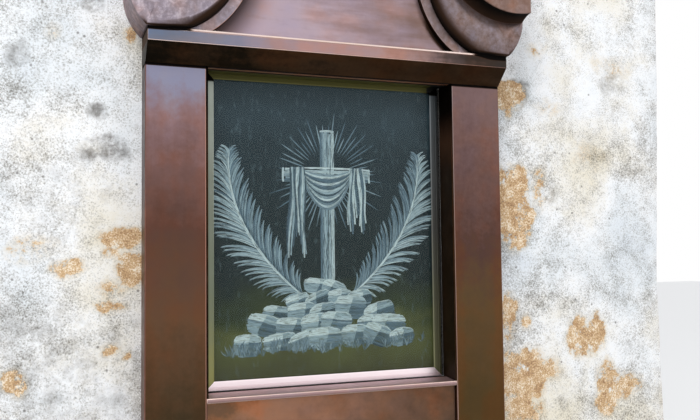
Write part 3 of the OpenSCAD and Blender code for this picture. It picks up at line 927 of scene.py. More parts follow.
@dataclass
class Masonry:
    """The plastered pier: plinth, body with its niche, and eaves moulding."""

    finishes: Finishes
    bevel: float = 0.012
    niche_gap: float = 0.003
    fillet: float = 0.14
    band: float = 0.3
    lip: float = 0.015
    cavetto_back: float = 0.03
    cavetto_steps: int = 12
    lean: Sequence[tuple[float, float]] = (
        (0.35, 0.020), (0.94, 0.027), (1.42, 0.038), (1.76, 0.024), (2.09, 0.011), (2.32, 0.002),
        (2.6, 0.0))

    def build(self) -> None:
        """Builds the plinth with its softened upper edge, the body and the eaves moulding."""
        plinth = self.start_band("masonry_plinth", corner_r=0.03)
        foot, top = plinth.low[2], plinth.high[2]
        plinth.rows = [(z, 0.0) for z in plinth.stations([foot, top - self.bevel], plinth.step)]
        plinth.rows += [(top - self.bevel * 0.3, self.bevel * 0.3), (top, self.bevel)]
        low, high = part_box("trim_left")[0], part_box("trim_right")[1]
        x0, z0 = (low[k] - self.niche_gap for k in (0, 2))
        x1, z1 = (high[k] + self.niche_gap for k in (0, 2))
        foot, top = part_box("left_pilaster")[0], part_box("cornice_cover")[1][2]
        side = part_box("right_scroll")[1]
        body = self.start_band(
            "masonry_body", lean=self.lean, hole=(x0, x1, z0, z1, high[1]),
            patches=LOST_COAT, stains=STAINS,
            calm=((foot[0], -foot[0], foot[2], top), (-side[0], side[0], top, side[2])))
        levels = body.stations([body.low[2], z0, z1, body.high[2]], body.step)
        body.rows = [(z, 0.0) for z in levels]
        for band in (plinth, body, self.eaves()):
            band.build(self.finishes.plaster)

    def start_band(self, node: str, **more: Any) -> PlasterBand:
        """Starts a band that fills the box of its node, still without rows."""
        return PlasterBand(node, [], *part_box(node), **more)

    def eaves(self) -> PlasterBand:
        """Lays out the eaves moulding: fillet, cavetto and top band.

        Returns:
            The moulding.
        """
        band = self.start_band("eaves_moulding", corner_r=0.008, wave=0.002, step=0.03,
                               far_step=0.05)
        foot, top = band.low[2], band.high[2]
        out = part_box("masonry_body")[0][0] - band.low[0]
        fillet, band_h = (top - foot) * self.fillet, (top - foot) * self.band
        r_h, r_w = top - foot - band_h - fillet, out - self.cavetto_back
        band.rows = [(foot, out - self.lip)]
        for a in math.pi / 2 * np.arange(self.cavetto_steps + 1) / self.cavetto_steps:
            band.rows.append((foot + fillet + r_h * math.sin(a),
                              out - self.lip - r_w * (1 - math.cos(a))))
        band.rows += [(top - band_h + 0.0015, 0.0), (top - band_h / 2, 0.0), (top, 0.0)]
        return band


# Repeated parts


def apply_tree(piece: Piece, tree: Tree, inputs: dict[str, Any]) -> None:
    """Runs a node group on a piece and keeps the result as a plain mesh.

    Args:
        piece: The piece, which holds the group's input mesh.
        tree: The group.
        inputs: Values by socket name.
    """
    modifier = piece.modifiers.new("shape", "NODES")
    modifier.node_group = tree
    for item in tree.interface.items_tree:
        if item.name in inputs:
            modifier[item.identifier] = inputs[item.name]
    graph = bpy.context.evaluated_depsgraph_get()
    made = bpy.data.meshes.new_from_object(piece.evaluated_get(graph), depsgraph=graph)
    piece.modifiers.remove(modifier)
    old = piece.data
    piece.data = made
    bpy.data.meshes.remove(old)


def start_group(name: str, made: str, **sockets: str) -> tuple[Tree, Adder, bpy.types.NodeOutputs]:
    """Starts a geometry node group that takes points.

    Args:
        name: The group's name.
        made: Name of the output.
        sockets: Kind of each further input, by name.

    Returns:
        The group, what adds a node to it, and the outputs of its input node.
    """
    tree = bpy.data.node_groups.new(name, "GeometryNodeTree")
    tree.is_modifier = True
    for socket, kind in {"Points": "Geometry", **sockets}.items():
        tree.interface.new_socket(socket.replace("_", " "), in_out="INPUT",
                                  socket_type="NodeSocket" + kind)
    tree.interface.new_socket(made, in_out="OUTPUT", socket_type="NodeSocketGeometry")
    add = partial(add_node, tree)
    return tree, add, add("NodeGroupInput").outputs


def bead_tree(material: Material) -> Tree:
    """Builds the node group that runs beads of solder over points.

    Args:
        material: Material of the beads.

    Returns:
        The group.
    """
    tree, add, given = start_group("solder beads", "Beads", Bead_Size="Float", Seed="Int")
    bead = add("GeometryNodeMeshIcoSphere", {"Radius": given["Bead Size"], "Subdivisions": 3})
    spread, turn = (add("FunctionNodeRandomValue", {"Min": low, "Max": high, "Seed": given["Seed"]},
                        data_type="FLOAT_VECTOR")
                    for low, high in (((0.5, 0.5, 0.35), (1.7, 1.1, 0.9)),
                                      ((-0.3, -0.3, -0.6), (0.3, 0.3, 0.6))))
    placed = add("GeometryNodeInstanceOnPoints", {
        "Points": given["Points"], "Instance": bead, "Rotation": turn, "Scale": spread})
    solid = add("GeometryNodeRealizeInstances", {"Geometry": placed})
    smooth = add("GeometryNodeSetShadeSmooth", {"Geometry": solid})
    dressed = add("GeometryNodeSetMaterial", {"Geometry": smooth, "Material": material})
    add("NodeGroupOutput", {"Beads": dressed})
    return tree


# Copper work


@dataclass
class Sheet:
    """How a folded sheet is finished: its faces, folds, ends, underside and painted shade.

    Cuts are an axis and a place on it, where the faces are divided for the marks, which are
    attributes by name, mostly painted shade. The rear is a place in Y, behind which the
    underside has its own finish: on the cornice's bed, a painted reflection of the top trim.
    """

    face: Material
    fold: Material
    side: Material | None = None
    under: Material | None = None
    radius: float = 0.0018
    cuts: Sequence[tuple[int, float]] = ()
    marks: dict[str, Callable[[np.ndarray], np.ndarray]] = field(default_factory=dict)
    rear: tuple[float, Material] | None = None
    slot: str = "copper_sheet"

    def cover(self, node: str) -> None:
        """Copies a node's shape with rounded folds along its edges.

        Args:
            node: The CAD node.
        """
        shape = bmesh.new()
        shape.from_mesh(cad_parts[node].data)
        bmesh.ops.remove_doubles(shape, verts=shape.verts, dist=2e-5)
        bmesh.ops.dissolve_limit(shape, angle_limit=math.radians(1.0), verts=shape.verts,
                                 edges=shape.edges)
        bmesh.ops.recalc_face_normals(shape, faces=shape.faces)
        for f in shape.faces:
            f.material_index = 3 if f.normal.z < -0.9 else 2 if f.normal.y > -0.9 else 0
            f.smooth = False
        sharp = [e for e in shape.edges if len(e.link_faces) == 2
                 and e.calc_face_angle(0.0) > math.radians(25)]
        made = bmesh.ops.bevel(shape, geom=sharp, offset=self.radius, segments=3, profile=0.5,
                               affect="EDGES", material=1, clamp_overlap=True)
        for f in made["faces"]:
            f.smooth = True
        for axis, place in self.cuts:
            way = Vector([float(k == axis) for k in range(3)])
            bmesh.ops.bisect_plane(shape, geom=shape.verts[:] + shape.edges[:] + shape.faces[:],
                                   dist=HAIR, plane_co=way * place, plane_no=way)
        for f in shape.faces:
            if self.rear and f.material_index == 3 and f.calc_center_median().y > self.rear[0]:
                f.material_index = 4
        mesh = bpy.data.meshes.new(node + "_sheet")
        shape.to_mesh(mesh)
        shape.free()
        side = self.side or self.face
        for material in (self.face, self.fold, side, self.under or side,
                         *(self.rear[1:] if self.rear else ())):
            mesh.materials.append(material)
        for name, mark in self.marks.items():
            set_values(mesh, name, mark(np.array([v.co for v in mesh.vertices])))
        finish_piece(link_object(mesh.name, mesh), [node])


@dataclass
class CopperSurround:
    """Pilasters, rail, sill, reveals, cornice and pediment, folded from copper sheet.

    Painted shadow begins and ends at these distances under the cornice on the reveals and the
    pilasters, and from the middle on the cornice's cover and fascia; on the sill a dark band
    begins and ends at these places in Y. The bands are the edges of the painted shadow lines
    on the soffit. Warm edges and levels are where pilasters are divided.
    """

    finishes: Finishes
    fold_r: float = 0.003
    reveal_shadow: tuple[float, float] = (0.32, 0.03)
    reveal_cuts: Sequence[float] = (0.05, 0.12, 0.2, 0.3)
    pilaster_shadow: tuple[float, float] = (0.009, 0.004)
    pilaster_cuts: Sequence[float] = (0.009, 0.005)
    sill_dark_band: tuple[float, float] = (-0.02, -0.012)
    cover_shadow: tuple[float, float] = (0.485, 0.515)
    shade_x: tuple[float, float] = (0.47, 0.575)
    bands: Sequence[float] = (-0.080, -0.078, -0.061, -0.059, -0.046)
    warm_edges: Sequence[float] = (-0.05, -0.02, 0.02, 0.05)
    warm_levels: Sequence[float] = (1.0, 1.2, 1.4, 1.6, 1.8, 2.0)
    grid: float = 0.012
    bead_count: int = 60
    bead_r: float = 0.0042
    bead_x: tuple[float, float] = (0.405, 0.51)

    def build(self) -> None:
        """Builds each folded piece over its node."""
        f, r = self.finishes, self.fold_r
        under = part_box("cornice_bed")[0][2]
        # The reveals go black towards the cornice: painted shadow under it.
        start, end = (under - h for h in self.reveal_shadow)
        dark = Sheet(f.dark, f.dark, cuts=[(2, under - h) for h in self.reveal_cuts],
                     marks={"hollow": lambda p: ease(start, end, p[:, 2])}, slot="dark_copper")
        ends = [(0, s * x) for s in (-1, 1) for x in np.linspace(*self.shade_x, 9)]
        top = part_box("cornice_fascia")[1][2]
        low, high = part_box("tympanum")
        grid = [(axis, place) for axis in (0, 2)
                for place in np.arange(low[axis] + self.grid, high[axis], self.grid)]
        inner, outer = (corner[0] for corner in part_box("right_pilaster"))
        warm = [(0, s * (x + d)) for s in (-1, 1) for x in (inner, outer)
                for d in self.warm_edges if inner < x + d < outer]
        warm += [(2, z) for z in (*self.warm_levels, *(under - h for h in self.pilaster_cuts))]
        # A black line on the pilasters just under the cornice: painted shadow.
        foot, lip = (under - h for h in self.pilaster_shadow)
        patina_and_shade = {"warmth": self.warmth, "hollow": lambda p: ease(foot, lip, p[:, 2])}
        for node, sheet in {
            **{f"{side.word}_pilaster": Sheet(f.pilaster[side], f.fold, f.flank, radius=r,
                                              cuts=warm, marks=patina_and_shade) for side in Side},
            "base_rail": Sheet(f.rail, f.fold),
            "sill": Sheet(f.sill, f.cover, f.sill, radius=r, marks={"hollow": self.sill_darkening},
                          cuts=[(1, y) for y in self.sill_dark_band]),
            "left_reveal": dark,
            "right_reveal": dark,
            # Painted shadow lines under the bed, and a painted reflection of the trim behind them.
            "cornice_bed": Sheet(f.dark, f.dark, f.dark, f.soffit, slot="dark_copper",
                                 cuts=[(1, y) for y in self.bands],
                                 marks={"hollow": self.soffit_shadow_lines},
                                 rear=(self.bands[-1], f.trim["top"])),
            "cornice_fascia": Sheet(f.cornice, f.edge, f.ends, f.soffit,
                                    marks={"hollow": self.lip_shadow_and_dirt},
                                    cuts=[*ends, *((2, top - 0.002 * h) for h in range(2, 8))]),
            # The cover goes dark at its ends: painted shadow under the scrolls.
            "cornice_cover": Sheet(f.cover, f.cover, cuts=ends, marks={
                "hollow": lambda p: ease(*self.cover_shadow, abs(p[:, 0]))}),
            "tympanum": Sheet(f.tympanum, f.tympanum, cuts=grid,
                              marks={"hollow": self.strip_shadows}),
            # The strips' sides take the dark copper: painted shade.
            "left_strip": Sheet(f.hammered, f.fold, f.dark),
            "right_strip": Sheet(f.hammered, f.fold, f.dark),
            "pediment_cap": Sheet(f.cornice, f.edge, f.dark),
            "crest_panel": Sheet(f.tympanum, f.tympanum),
            "crest_rim": Sheet(f.cornice, f.edge, f.fold),
        }.items():
            sheet.cover(node)
        self.beads()

    def warmth(self, places: np.ndarray) -> np.ndarray:
        """Warmer patina along the edges of the pilasters, most of all low down.

        Args:
            places: Points in metres.

        Returns:
            How much warmer each point is.
        """
        low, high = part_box("right_pilaster")
        edge = np.minimum(abs(places[:, 0]) - low[0], high[0] - abs(places[:, 0]))
        down = 1 - ease(1.1, 1.9, places[:, 2])
        # The cooler tone at the top is a painted sky reflection.
        painted_sky_sheen = 0.2 * ease(1.95, 2.1, places[:, 2])
        return (1 - ease(0.0, 0.05, edge)) * (0.06 + 0.2 * down) - painted_sky_sheen

    def sill_darkening(self, places: np.ndarray) -> np.ndarray:
        """Black along the back of the sill, and a duller fold at its foot."""
        foot = places[:, 2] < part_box("sill")[0][2] + 0.003
        return np.maximum(ease(*self.sill_dark_band, places[:, 1]), 0.2 * foot)

    def soffit_shadow_lines(self, places: np.ndarray) -> np.ndarray:
        """Painted shadow lines along the underside of the cornice.

        Args:
            places: Points in metres.

        Returns:
            How much painted shadow each point gets.
        """
        y, front, rear, end = places[:, 1], self.bands[0], self.bands[3], self.bands[-1]
        under = places[:, 2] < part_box("cornice_bed")[0][2] + 0.001
        dark = (y <= front + 1e-5) | (y >= rear - 1e-5)
        return 1.0 * (under & dark & (y < end + 1e-5))

    def lip_shadow_and_dirt(self, places: np.ndarray) -> np.ndarray:
        """Painted shadow and dirt under the scrolls' lips on the fascia; darker folds at its ends.

        Args:
            places: Points in metres.

        Returns:
            How much painted shade and dirt each point gets.
        """
        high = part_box("cornice_fascia")[1]
        away = abs(places[:, 0])
        # How far the painted shadow reaches down under each scroll's lip.
        deep = np.where(places[:, 0] > 0, 0.014, 0.0055) * ease(*self.shade_x, away)
        lip = ease(0.0, 0.0045, deep - high[2] + places[:, 2])
        return np.maximum(lip, 0.34 * (away > high[0] - 0.001))

    def strip_shadows(self, places: np.ndarray) -> np.ndarray:
        """Painted shadow beside the strips: soft along the left one, black at the right one's foot.

        Args:
            places: Points in metres.

        Returns:
            How much painted shadow each point gets.
        """
        scroll = Scroll(self.finishes, Side.RIGHT)
        x, _, z = places.T
        away = np.hypot(scroll.centre[0] - abs(x), z - scroll.centre[1]) - scroll.strip_r
        soft = 0.3 * (1 - ease(0.0, 0.11, away)) * (x < 0)
        foot = 1 - ease(0.04, 0.16, z - scroll.base_z)
        return soft + (1 - ease(0.0, 0.02, away)) * foot * (x > 0)

    def beads(self) -> None:
        """Runs solder along the feet of the strips."""
        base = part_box("cornice_cover")[1][2]
        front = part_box("right_strip")[0][1]
        rows = []
        random = np.random.default_rng(7)
        for side in Side:
            for x in np.linspace(*self.bead_x, self.bead_count):
                x += random.normal(0, 0.002)
                reach = abs(random.normal(0, 0.004))
                rows.append((side.value * x, front - 0.003 - reach, base + 0.001))
        piece = link_object("solder_beads", mesh_from("solder_beads", rows, []))
        apply_tree(piece, bead_tree(self.finishes.solder), {"Bead Size": self.bead_r, "Seed": 4})
        finish_piece(piece)


@dataclass
class Scroll:
    """One scroll of the pediment: body, coil, inner turn and eye, beaten from sheet.

    Its outlines follow the same arcs as the solids', with finer steps, as points (x, z) that
    run counter-clockwise as the front is seen. They are those of the right scroll, and the
    left one's pieces are turned over at the end.
    """

    finishes: Finishes
    side: Side
    strip_r: float = 0.325
    strip_w: float = 0.036
    inset: float = 0.014
    overhang: float = 0.060
    rise: float = 0.271
    strip_out: float = 0.135
    edge_out: float = 0.173
    round_w: float = 0.034
    swell: float = 0.012
    coil_out: float = 0.060
    cove: float = 0.020
    turn_out: float = 0.026
    turn_scale: float = 0.56
    eye_r: float = 0.036
    eye_out: float = 0.024
    toe_r: float = 0.180
    toe_up: float = 0.130
    coil_r: float = 0.150
    coil_shift: tuple[float, float] = (-0.074, 0.059)
    low_shift: tuple[float, float] = (0.087, 0.061)
    steps: int = 34
    side_steps: int = 22
    flank_steps: Sequence[float] = (0.0, 0.35, 0.7, 0.96)
    bend_steps: Sequence[float] = (0.0, 0.02, 0.06, 0.12, 0.2, 0.3, 0.42, 0.56, 0.72, 0.88, 1.0)
    face_steps: Sequence[float] = (*np.linspace(0.05, 0.85, 15), 0.9, 0.95, 1.0)
    dent: float = 0.0009
    sharp: float = 38.0

    def __post_init__(self) -> None:
        """Works out the centres from the cornice."""
        self.half, _, self.base_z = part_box("cornice_cover")[1]
        self.centre = np.array([self.half - self.inset, self.base_z + self.rise])
        self.coil_c = self.centre + np.array(self.coil_shift)
        self.low_c = self.coil_c + np.array(self.low_shift)
        self.low_r = self.coil_r + math.hypot(*self.low_shift)
        self.side_x = self.half + self.overhang
        self.body_r = self.strip_r - self.strip_w
        self.join_a = math.degrees(math.atan2(self.coil_shift[1], self.coil_shift[0]))
        self.low_a = math.degrees(math.atan2(-self.low_shift[1], -self.low_shift[0])) + 360
        self.crown_r = self.body_r - math.hypot(*self.coil_shift)

    def polar(self, c: np.ndarray, r: float, degrees: Any) -> np.ndarray:
        """Places on a circle round c at one angle, or at each of a row of them."""
        a = np.radians(degrees)
        return c + r * np.stack([np.cos(a), np.sin(a)], axis=-1)

    def arc(self, c: np.ndarray, r: float, a0: float, a1: float, steps: int = 0) -> np.ndarray:
        """Points of an arc from angle a0 to a1 without its last point, one row each."""
        count = steps or self.steps
        return self.polar(c, r, a0 + (a1 - a0) * np.arange(count) / count)

    def line(self, p: Any, q: Any) -> np.ndarray:
        """Points of a straight stretch from p to q without its last point, one row each."""
        t = np.arange(self.side_steps)[:, None] / self.side_steps
        return np.asarray(p) + (np.asarray(q) - np.asarray(p)) * t

    def body_outline(self) -> np.ndarray:
        """Outline of the scroll's body.

        Returns:
            The points, one row each.
        """
        low = 180 - math.degrees(math.asin((self.base_z - self.centre[1]) / self.body_r))
        top = math.degrees(math.acos((self.side_x - self.coil_c[0]) / self.crown_r))
        toe_c = np.array([self.side_x - self.toe_r, self.base_z + self.toe_up])
        toe_end = math.degrees(math.asin((self.base_z - toe_c[1]) / self.toe_r))
        heel = [self.polar(self.centre, self.body_r, low)[0], self.base_z]
        return np.concatenate([
            self.line([self.side_x, toe_c[1]],
                      [self.side_x, self.polar(self.coil_c, self.crown_r, top)[1]]),
            self.arc(self.coil_c, self.crown_r, top, self.join_a),
            self.arc(self.centre, self.body_r, self.join_a, self.low_a),
            self.arc(self.centre, self.body_r, self.low_a, low),
            self.line(heel, self.polar(toe_c, self.toe_r, toe_end)),
            self.arc(toe_c, self.toe_r, toe_end, 0),
        ])

    def coil_outline(self, spread: float = 0.0) -> np.ndarray:
        """Outline of the coil.

        Args:
            spread: How far its curved edges are moved out.

        Returns:
            The points, one row each.
        """
        x = self.side_x - 0.002
        r, low_r = self.coil_r + spread, self.low_r + spread
        top = math.degrees(math.acos((x - self.coil_c[0]) / r))
        end = 360 - math.degrees(math.acos((x - self.low_c[0]) / low_r))
        third = (end - self.low_a) / 3
        a, b = self.low_a + third, self.low_a + 2 * third
        return np.concatenate([
            self.line([x, self.polar(self.low_c, low_r, end)[1]],
                      [x, self.polar(self.coil_c, r, top)[1]]),
            self.arc(self.coil_c, r, top, self.join_a),
            self.arc(self.coil_c, r, self.join_a, self.low_a),
            self.arc(self.low_c, low_r, self.low_a, a),
            self.arc(self.low_c, low_r, a, b, self.side_steps),
            self.arc(self.low_c, low_r, b, end),
        ])

    def ring(self, outline: np.ndarray, out: Any) -> np.ndarray:
        """Places an outline in space, at one distance from the masonry or one for each point."""
        return np.insert(outline, 1, -np.asarray(out), axis=1)

    def body_rings(self) -> tuple[list[np.ndarray], list[np.ndarray]]:
        """Rings of the body, from the masonry to the coil's foot, and the painted shade on them.

        Returns:
            The rings, and a value from 0 to 1 for each of their points.
        """
        edge, foot = self.body_outline(), self.coil_outline(self.cove)
        x, z = edge.T
        x0 = self.centre[0] - self.body_r
        deep = self.edge_out - self.strip_out
        low = self.strip_out + deep * (x - x0) / (self.side_x - x0)
        width = np.linalg.norm(foot - edge, axis=1)
        crease_r = self.body_r - self.round_w
        across = np.clip((x - self.centre[0]) / crease_r, -1, 1)
        lift = self.centre[1] - crease_r * np.sqrt(1 - across ** 2) - z
        sole = (z < self.base_z + HAIR) & (lift > 0)
        slope = np.maximum(foot[:, 1] - z, HAIR) / width
        bend = np.minimum(np.where(sole, lift / slope, self.round_w), width * 0.45)
        swell = np.minimum(self.swell, width * 0.1)
        # Painted shade, partly patina: dark under the coil, along the crease and at the foot.
        under = 0.3 + 0.7 * ease(0.02, 0.12, self.coil_c[1] - 0.05 - foot[:, 1])
        inner = ease(0.0, 0.7, (self.edge_out - low) / deep)
        outer = ease(self.side_x - 0.15, self.side_x - 0.03, x)
        foot_z = 0.9 * (1 - ease(0.0, 0.03, z - self.base_z)) * (1 - 0.6 * outer)
        flank = (0.32 - 0.2 * ease(0.0, 0.3, z - self.base_z)) * (1 - 0.7 * outer) + 0.6 * inner
        # The left scroll's crease is painted crisp and the right one's soft, as the light falls.
        shade = {Side.LEFT: ((0.0, 0.3, 0.86, 0.98), (0.8, 0.45, 0.32, 0.0)),
                 Side.RIGHT: ((0.0, 0.12, 0.3, 1.0), (0.8, 0.6, 0.4, 0.16))}[self.side]
        rings = [self.ring(edge, low * t) for t in self.flank_steps]
        shadings = [flank] * len(rings)
        for share in self.bend_steps:
            rings.append(self.ring(edge + (foot - edge) * (bend * share / width)[:, None],
                                   low + (self.edge_out - low) * math.sqrt(1 - (1 - share) ** 2)))
            shadings.append(np.maximum(float(np.interp(share, *shade)) * inner,
                                      foot_z * (1 - ease(0.0, 0.5, share))))
        for t in self.face_steps:
            way = (bend + (width - bend) * t) / width
            rings.append(self.ring(edge + (foot - edge) * way[:, None],
                                   self.edge_out + swell * math.sin(math.pi * t)))
            near = 1 - ease(0.0, 0.03, (1 - t) * (width - bend))
            fade = shade[1][-1] * inner * (1 - ease(0.0, 0.16, t))
            shadings.append(np.maximum(0.2 * near * under, fade))
        return rings, shadings

    def turn_rings(self, out: float, height: float) -> tuple[list[np.ndarray], list[np.ndarray]]:
        """Rings of a turn: a cove from foot to edge, then a flat face with a crisp edge.

        Args:
            out: Distance of its foot from the masonry.
            height: How far it stands out from its foot.

        Returns:
            The rings, and the painted shade on each of their points.
        """
        outline = self.coil_outline()
        rings, shadings = [], []
        for t in np.linspace(0, 1, 14):
            rings.append(self.ring(self.coil_outline(self.cove * (1 - t) ** 2),
                                   out + height * 0.95 * t))
            # The cove is painted dark as shadow, darkest under the face's lip.
            curved = outline[:, 0] < self.side_x - 0.004
            shadings.append(np.where(curved, 0.25 + 0.7 * math.sqrt(t), 0.12) * (t < 1))
        for s, t in ((0.998, 0.975), (0.993, 0.99), (0.984, 1.0),
                     *((s, 1.0) for s in np.linspace(0.95, 0.04, 26))):
            rings.append(self.ring(self.coil_c + (outline - self.coil_c) * s, out + height * t))
            shadings.append(np.zeros(len(outline)))
        return rings, shadings

    def skin(self, name: str, node: str, rings: list[np.ndarray], shadings: list[np.ndarray],
             dent: float, material: Material) -> None:
        """Makes a closed piece through rings, with hammer dents pressed into it.

        Args:
            name: What the piece's name says beside the side.
            node: What its node's name says beside the side.
            rings: The rings, from back to front.
            shadings: The painted shade, partly patina, on each of their points.
            dent: Depth of the dents in metres.
            material: Its copper.
        """
        n, count = len(rings[0]), len(rings)
        points = np.concatenate(rings + [ring.mean(axis=0)[None] for ring in (rings[0], rings[-1])])
        last = (count - 1) * n
        faces = quads(count, n)
        faces += [((i + 1) % n, i, count * n) for i in range(n)]
        faces += [(last + i, last + (i + 1) % n, count * n + 1) for i in range(n)]
        noise = Noise(5)
        depth = dent * (0.5 + 0.5 * noise.layers(points, 0.03, 2)) \
            + 1.6 * dent * (0.5 + 0.5 * noise.layers(points + 3.0, 0.12, 2))
        shift = self.ring(self.coil_c[None], 0.0) - points
        shift[:, 1] = 0
        reach = np.linalg.norm(shift, axis=1, keepdims=True)
        inward = np.divide(shift, reach, out=np.zeros_like(shift), where=reach > HAIR)
        front = ease(0.1, 0.17, -points[:, 1])
        points += inward * (depth * (1 - front) * 0.6)[:, None] * (points[:, 1:2] < -0.001)
        points[:, 1] += depth * front
        self.close(name, node, points, faces, material, hollow=np.concatenate(shadings))

    def close(self, name: str, node: str, points: np.ndarray, faces: list[Face],
              material: Material, **values: Any) -> None:
        """Turns a piece to its side of the front and finishes it.

        Args:
            name: What the piece's name says beside the side.
            node: What its node's name says beside the side.
            points: Places on the right side, in metres.
            faces: Point indices of each face.
            material: Its copper.
            values: Attributes by name.
        """
        word = self.side.word
        closed_piece(f"{word}_{name}", points * (self.side.value, 1, 1), faces, material,
                     "hammered_copper", [f"{word}_{node}"], self.sharp, **values)

    def build(self) -> None:
        """Builds the four pieces."""
        copper, rubbed = self.finishes.hammered, self.finishes.coil
        self.skin("scroll_body", "scroll", *self.body_rings(), self.dent, copper)
        self.skin("coil_sheet", "coil", *self.turn_rings(self.edge_out, self.coil_out), self.dent,
                  rubbed)
        base = self.edge_out + self.coil_out
        rings, shadings = self.turn_rings(0.0, self.turn_out)
        hub, scale = self.ring(self.coil_c[None], 0.0), (self.turn_scale, 1, self.turn_scale)
        rings = [hub + (ring - hub) * scale - (0, base - self.dent, 0) for ring in rings]
        self.skin("inner_turn_sheet", "inner_turn", rings, shadings, self.dent * 0.5, rubbed)
        self.eye(base + self.turn_out)

    def eye(self, base: float, rings: int = 14, count: int = 64) -> None:
        """Makes the domed eye.

        Args:
            base: Distance of its foot from the masonry.
            rings: Number of rings round its top.
            count: Points in a ring.
        """
        dome_r = (self.eye_r ** 2 + self.eye_out ** 2) / (2 * self.eye_out)
        top_a = math.asin(self.eye_r / dome_r)
        places = [np.insert(self.coil_c, 1, -(base + self.eye_out))[None]]
        turn = 360 / count * np.arange(count)
        for a in top_a * np.arange(1, rings + 1) / rings:
            out = base + self.eye_out - dome_r * (1 - math.cos(a))
            places.append(self.ring(self.polar(self.coil_c, dome_r * math.sin(a), turn), out))
        faces = [(0, 1 + j, 1 + (j + 1) % count) for j in range(count)]
        faces += [tuple(1 + k for k in f) for f in quads(rings, count)]
        faces.append(tuple(1 + (rings - 1) * count + j for j in range(count)))
        self.close("eye_boss", "eye", np.concatenate(places), faces, self.finishes.hammered)


# Roof


def seam_tree(material: Material) -> Tree:
    """Builds the node group that sets standing seams on points.

    Each point carries the seam's length in run and its turn in turn.

    Args:
        material: Material of the seams.

    Returns:
        The group.
    """
    tree, add, given = start_group("standing seams", "Seams", Seam_Width="Float",
                                   Seam_Height="Float")
    run = add("GeometryNodeInputNamedAttribute", {"Name": "run"}, data_type="FLOAT")
    turn = add("GeometryNodeInputNamedAttribute", {"Name": "turn"}, data_type="FLOAT_VECTOR")
    size = add("CombineXYZ", {"X": given["Seam Width"], "Y": 1.0, "Z": given["Seam Height"]})
    bar = add("GeometryNodeMeshCube", {"Size": size})
    lift = add("Math", {0: given["Seam Height"], 1: 0.5}, operation="MULTIPLY")
    offset = add("CombineXYZ", {"Y": 0.5, "Z": lift})
    seated = add("GeometryNodeTransform", {"Geometry": bar, "Translation": offset})
    stretch = add("CombineXYZ", {"X": 1.0, "Y": run, "Z": 1.0})
    placed = add("GeometryNodeInstanceOnPoints", {
        "Points": given["Points"], "Instance": seated, "Rotation": turn, "Scale": stretch})
    solid = add("GeometryNodeRealizeInstances", {"Geometry": placed})
    dressed = add("GeometryNodeSetMaterial", {"Geometry": solid, "Material": material})
    add("NodeGroupOutput", {"Seams": dressed})
    return tree


@dataclass
class Roof:
    """The hipped roof of copper sheet with standing seams, its capping, ball and cross."""

    finishes: Finishes
    fold_r: float = 0.002
    seam_gap: float = 0.43
    seam_w: float = 0.012
    seam_h: float = 0.024
    clear: float = 0.075
    corner_gap: float = 0.1
    shortest: float = 0.08
    foot_h: float = 0.004
    foot_r: float = 0.034
    collar_h: float = 0.002
    collar_r: float = 0.027
    rings: int = 48
    steps: int = 28

    def build(self) -> None:
        """Builds and dresses the roof's pieces."""
        copper, iron = self.finishes.roof, self.finishes.iron
        for node in ("roof", "roof_capping"):
            Sheet(copper, copper, radius=self.fold_r, slot="roof_copper").cover(node)
        Sheet(iron, iron, radius=self.fold_r, slot="wrought_iron").cover("roof_cross")
        self.seams()
        self.ball()

    def seams(self) -> None:
        """Sets the standing seams from the eaves to the ridge and hips."""
        low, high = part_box("roof")
        edge_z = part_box("roof_capping")[0][2]
        half_w, half_d, _ = (high - low) / 2
        mid_y = (high[1] + low[1]) / 2
        pitch = math.atan2(high[2] - edge_z, half_d)
        start = self.seam_h * math.sin(pitch)
        points, runs, turns = [], [], []
        for quarter, half, deep in ((0, half_w, half_d), (2, half_w, half_d),
                                    (1, half_d, half_w), (3, half_d, half_w)):
            turn = math.pi / 2 * quarter
            count = int((half - self.corner_gap) / self.seam_gap)
            for across in (k * self.seam_gap for k in range(-count, count + 1)):
                flat_run = min(half_d, half - abs(across)) - self.clear
                if flat_run < self.shortest:
                    continue
                x, y, z = Matrix.Rotation(turn, 3, "Z") @ Vector(
                    (across, start - deep, start * math.tan(pitch)))
                points.append((x, y + mid_y, edge_z + z))
                runs.append((flat_run - start) / math.cos(pitch))
                turns.append((pitch, 0.0, turn))
        mesh = mesh_from("roof_seams", points, [])
        set_values(mesh, "run", runs)
        set_values(mesh, "turn", turns)
        piece = link_object("roof_seams", mesh)
        apply_tree(piece, seam_tree(self.finishes.roof),
                   {"Seam Width": self.seam_w, "Seam Height": self.seam_h})
        finish_piece(piece)

    def ball(self) -> None:
        """Turns the ball with its foot and collar as one spun piece."""
        low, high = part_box("ridge_ball")
        middle, top = (low + high) / 2, high[2]
        ball_r = (high[0] - low[0]) / 2
        ball_z = top - ball_r
        start, end = (math.asin(r / ball_r) for r in (self.foot_r, self.collar_r))
        outline = [(0.0, low[2]), (self.foot_r, low[2]),
                   (self.foot_r, ball_z - ball_r * math.cos(start) - self.foot_h)]
        outline += [(ball_r * math.sin(a), ball_z - ball_r * math.cos(a))
                    for a in np.linspace(start, math.pi - end, self.steps + 1)]
        outline += [(self.collar_r, top - self.collar_h), (self.collar_r - self.collar_h, top),
                    (0.0, top)]
        points = [(middle[0] + r * math.cos(b), middle[1] + r * math.sin(b), z)
                  for r, z in outline for b in 2 * math.pi / self.rings * np.arange(self.rings)]
        closed_piece("ridge_ball_spun", points, quads(len(outline), self.rings),
                     self.finishes.roof, "roof_copper", ["ridge_ball"], 35, merge=1e-5)


# Picture


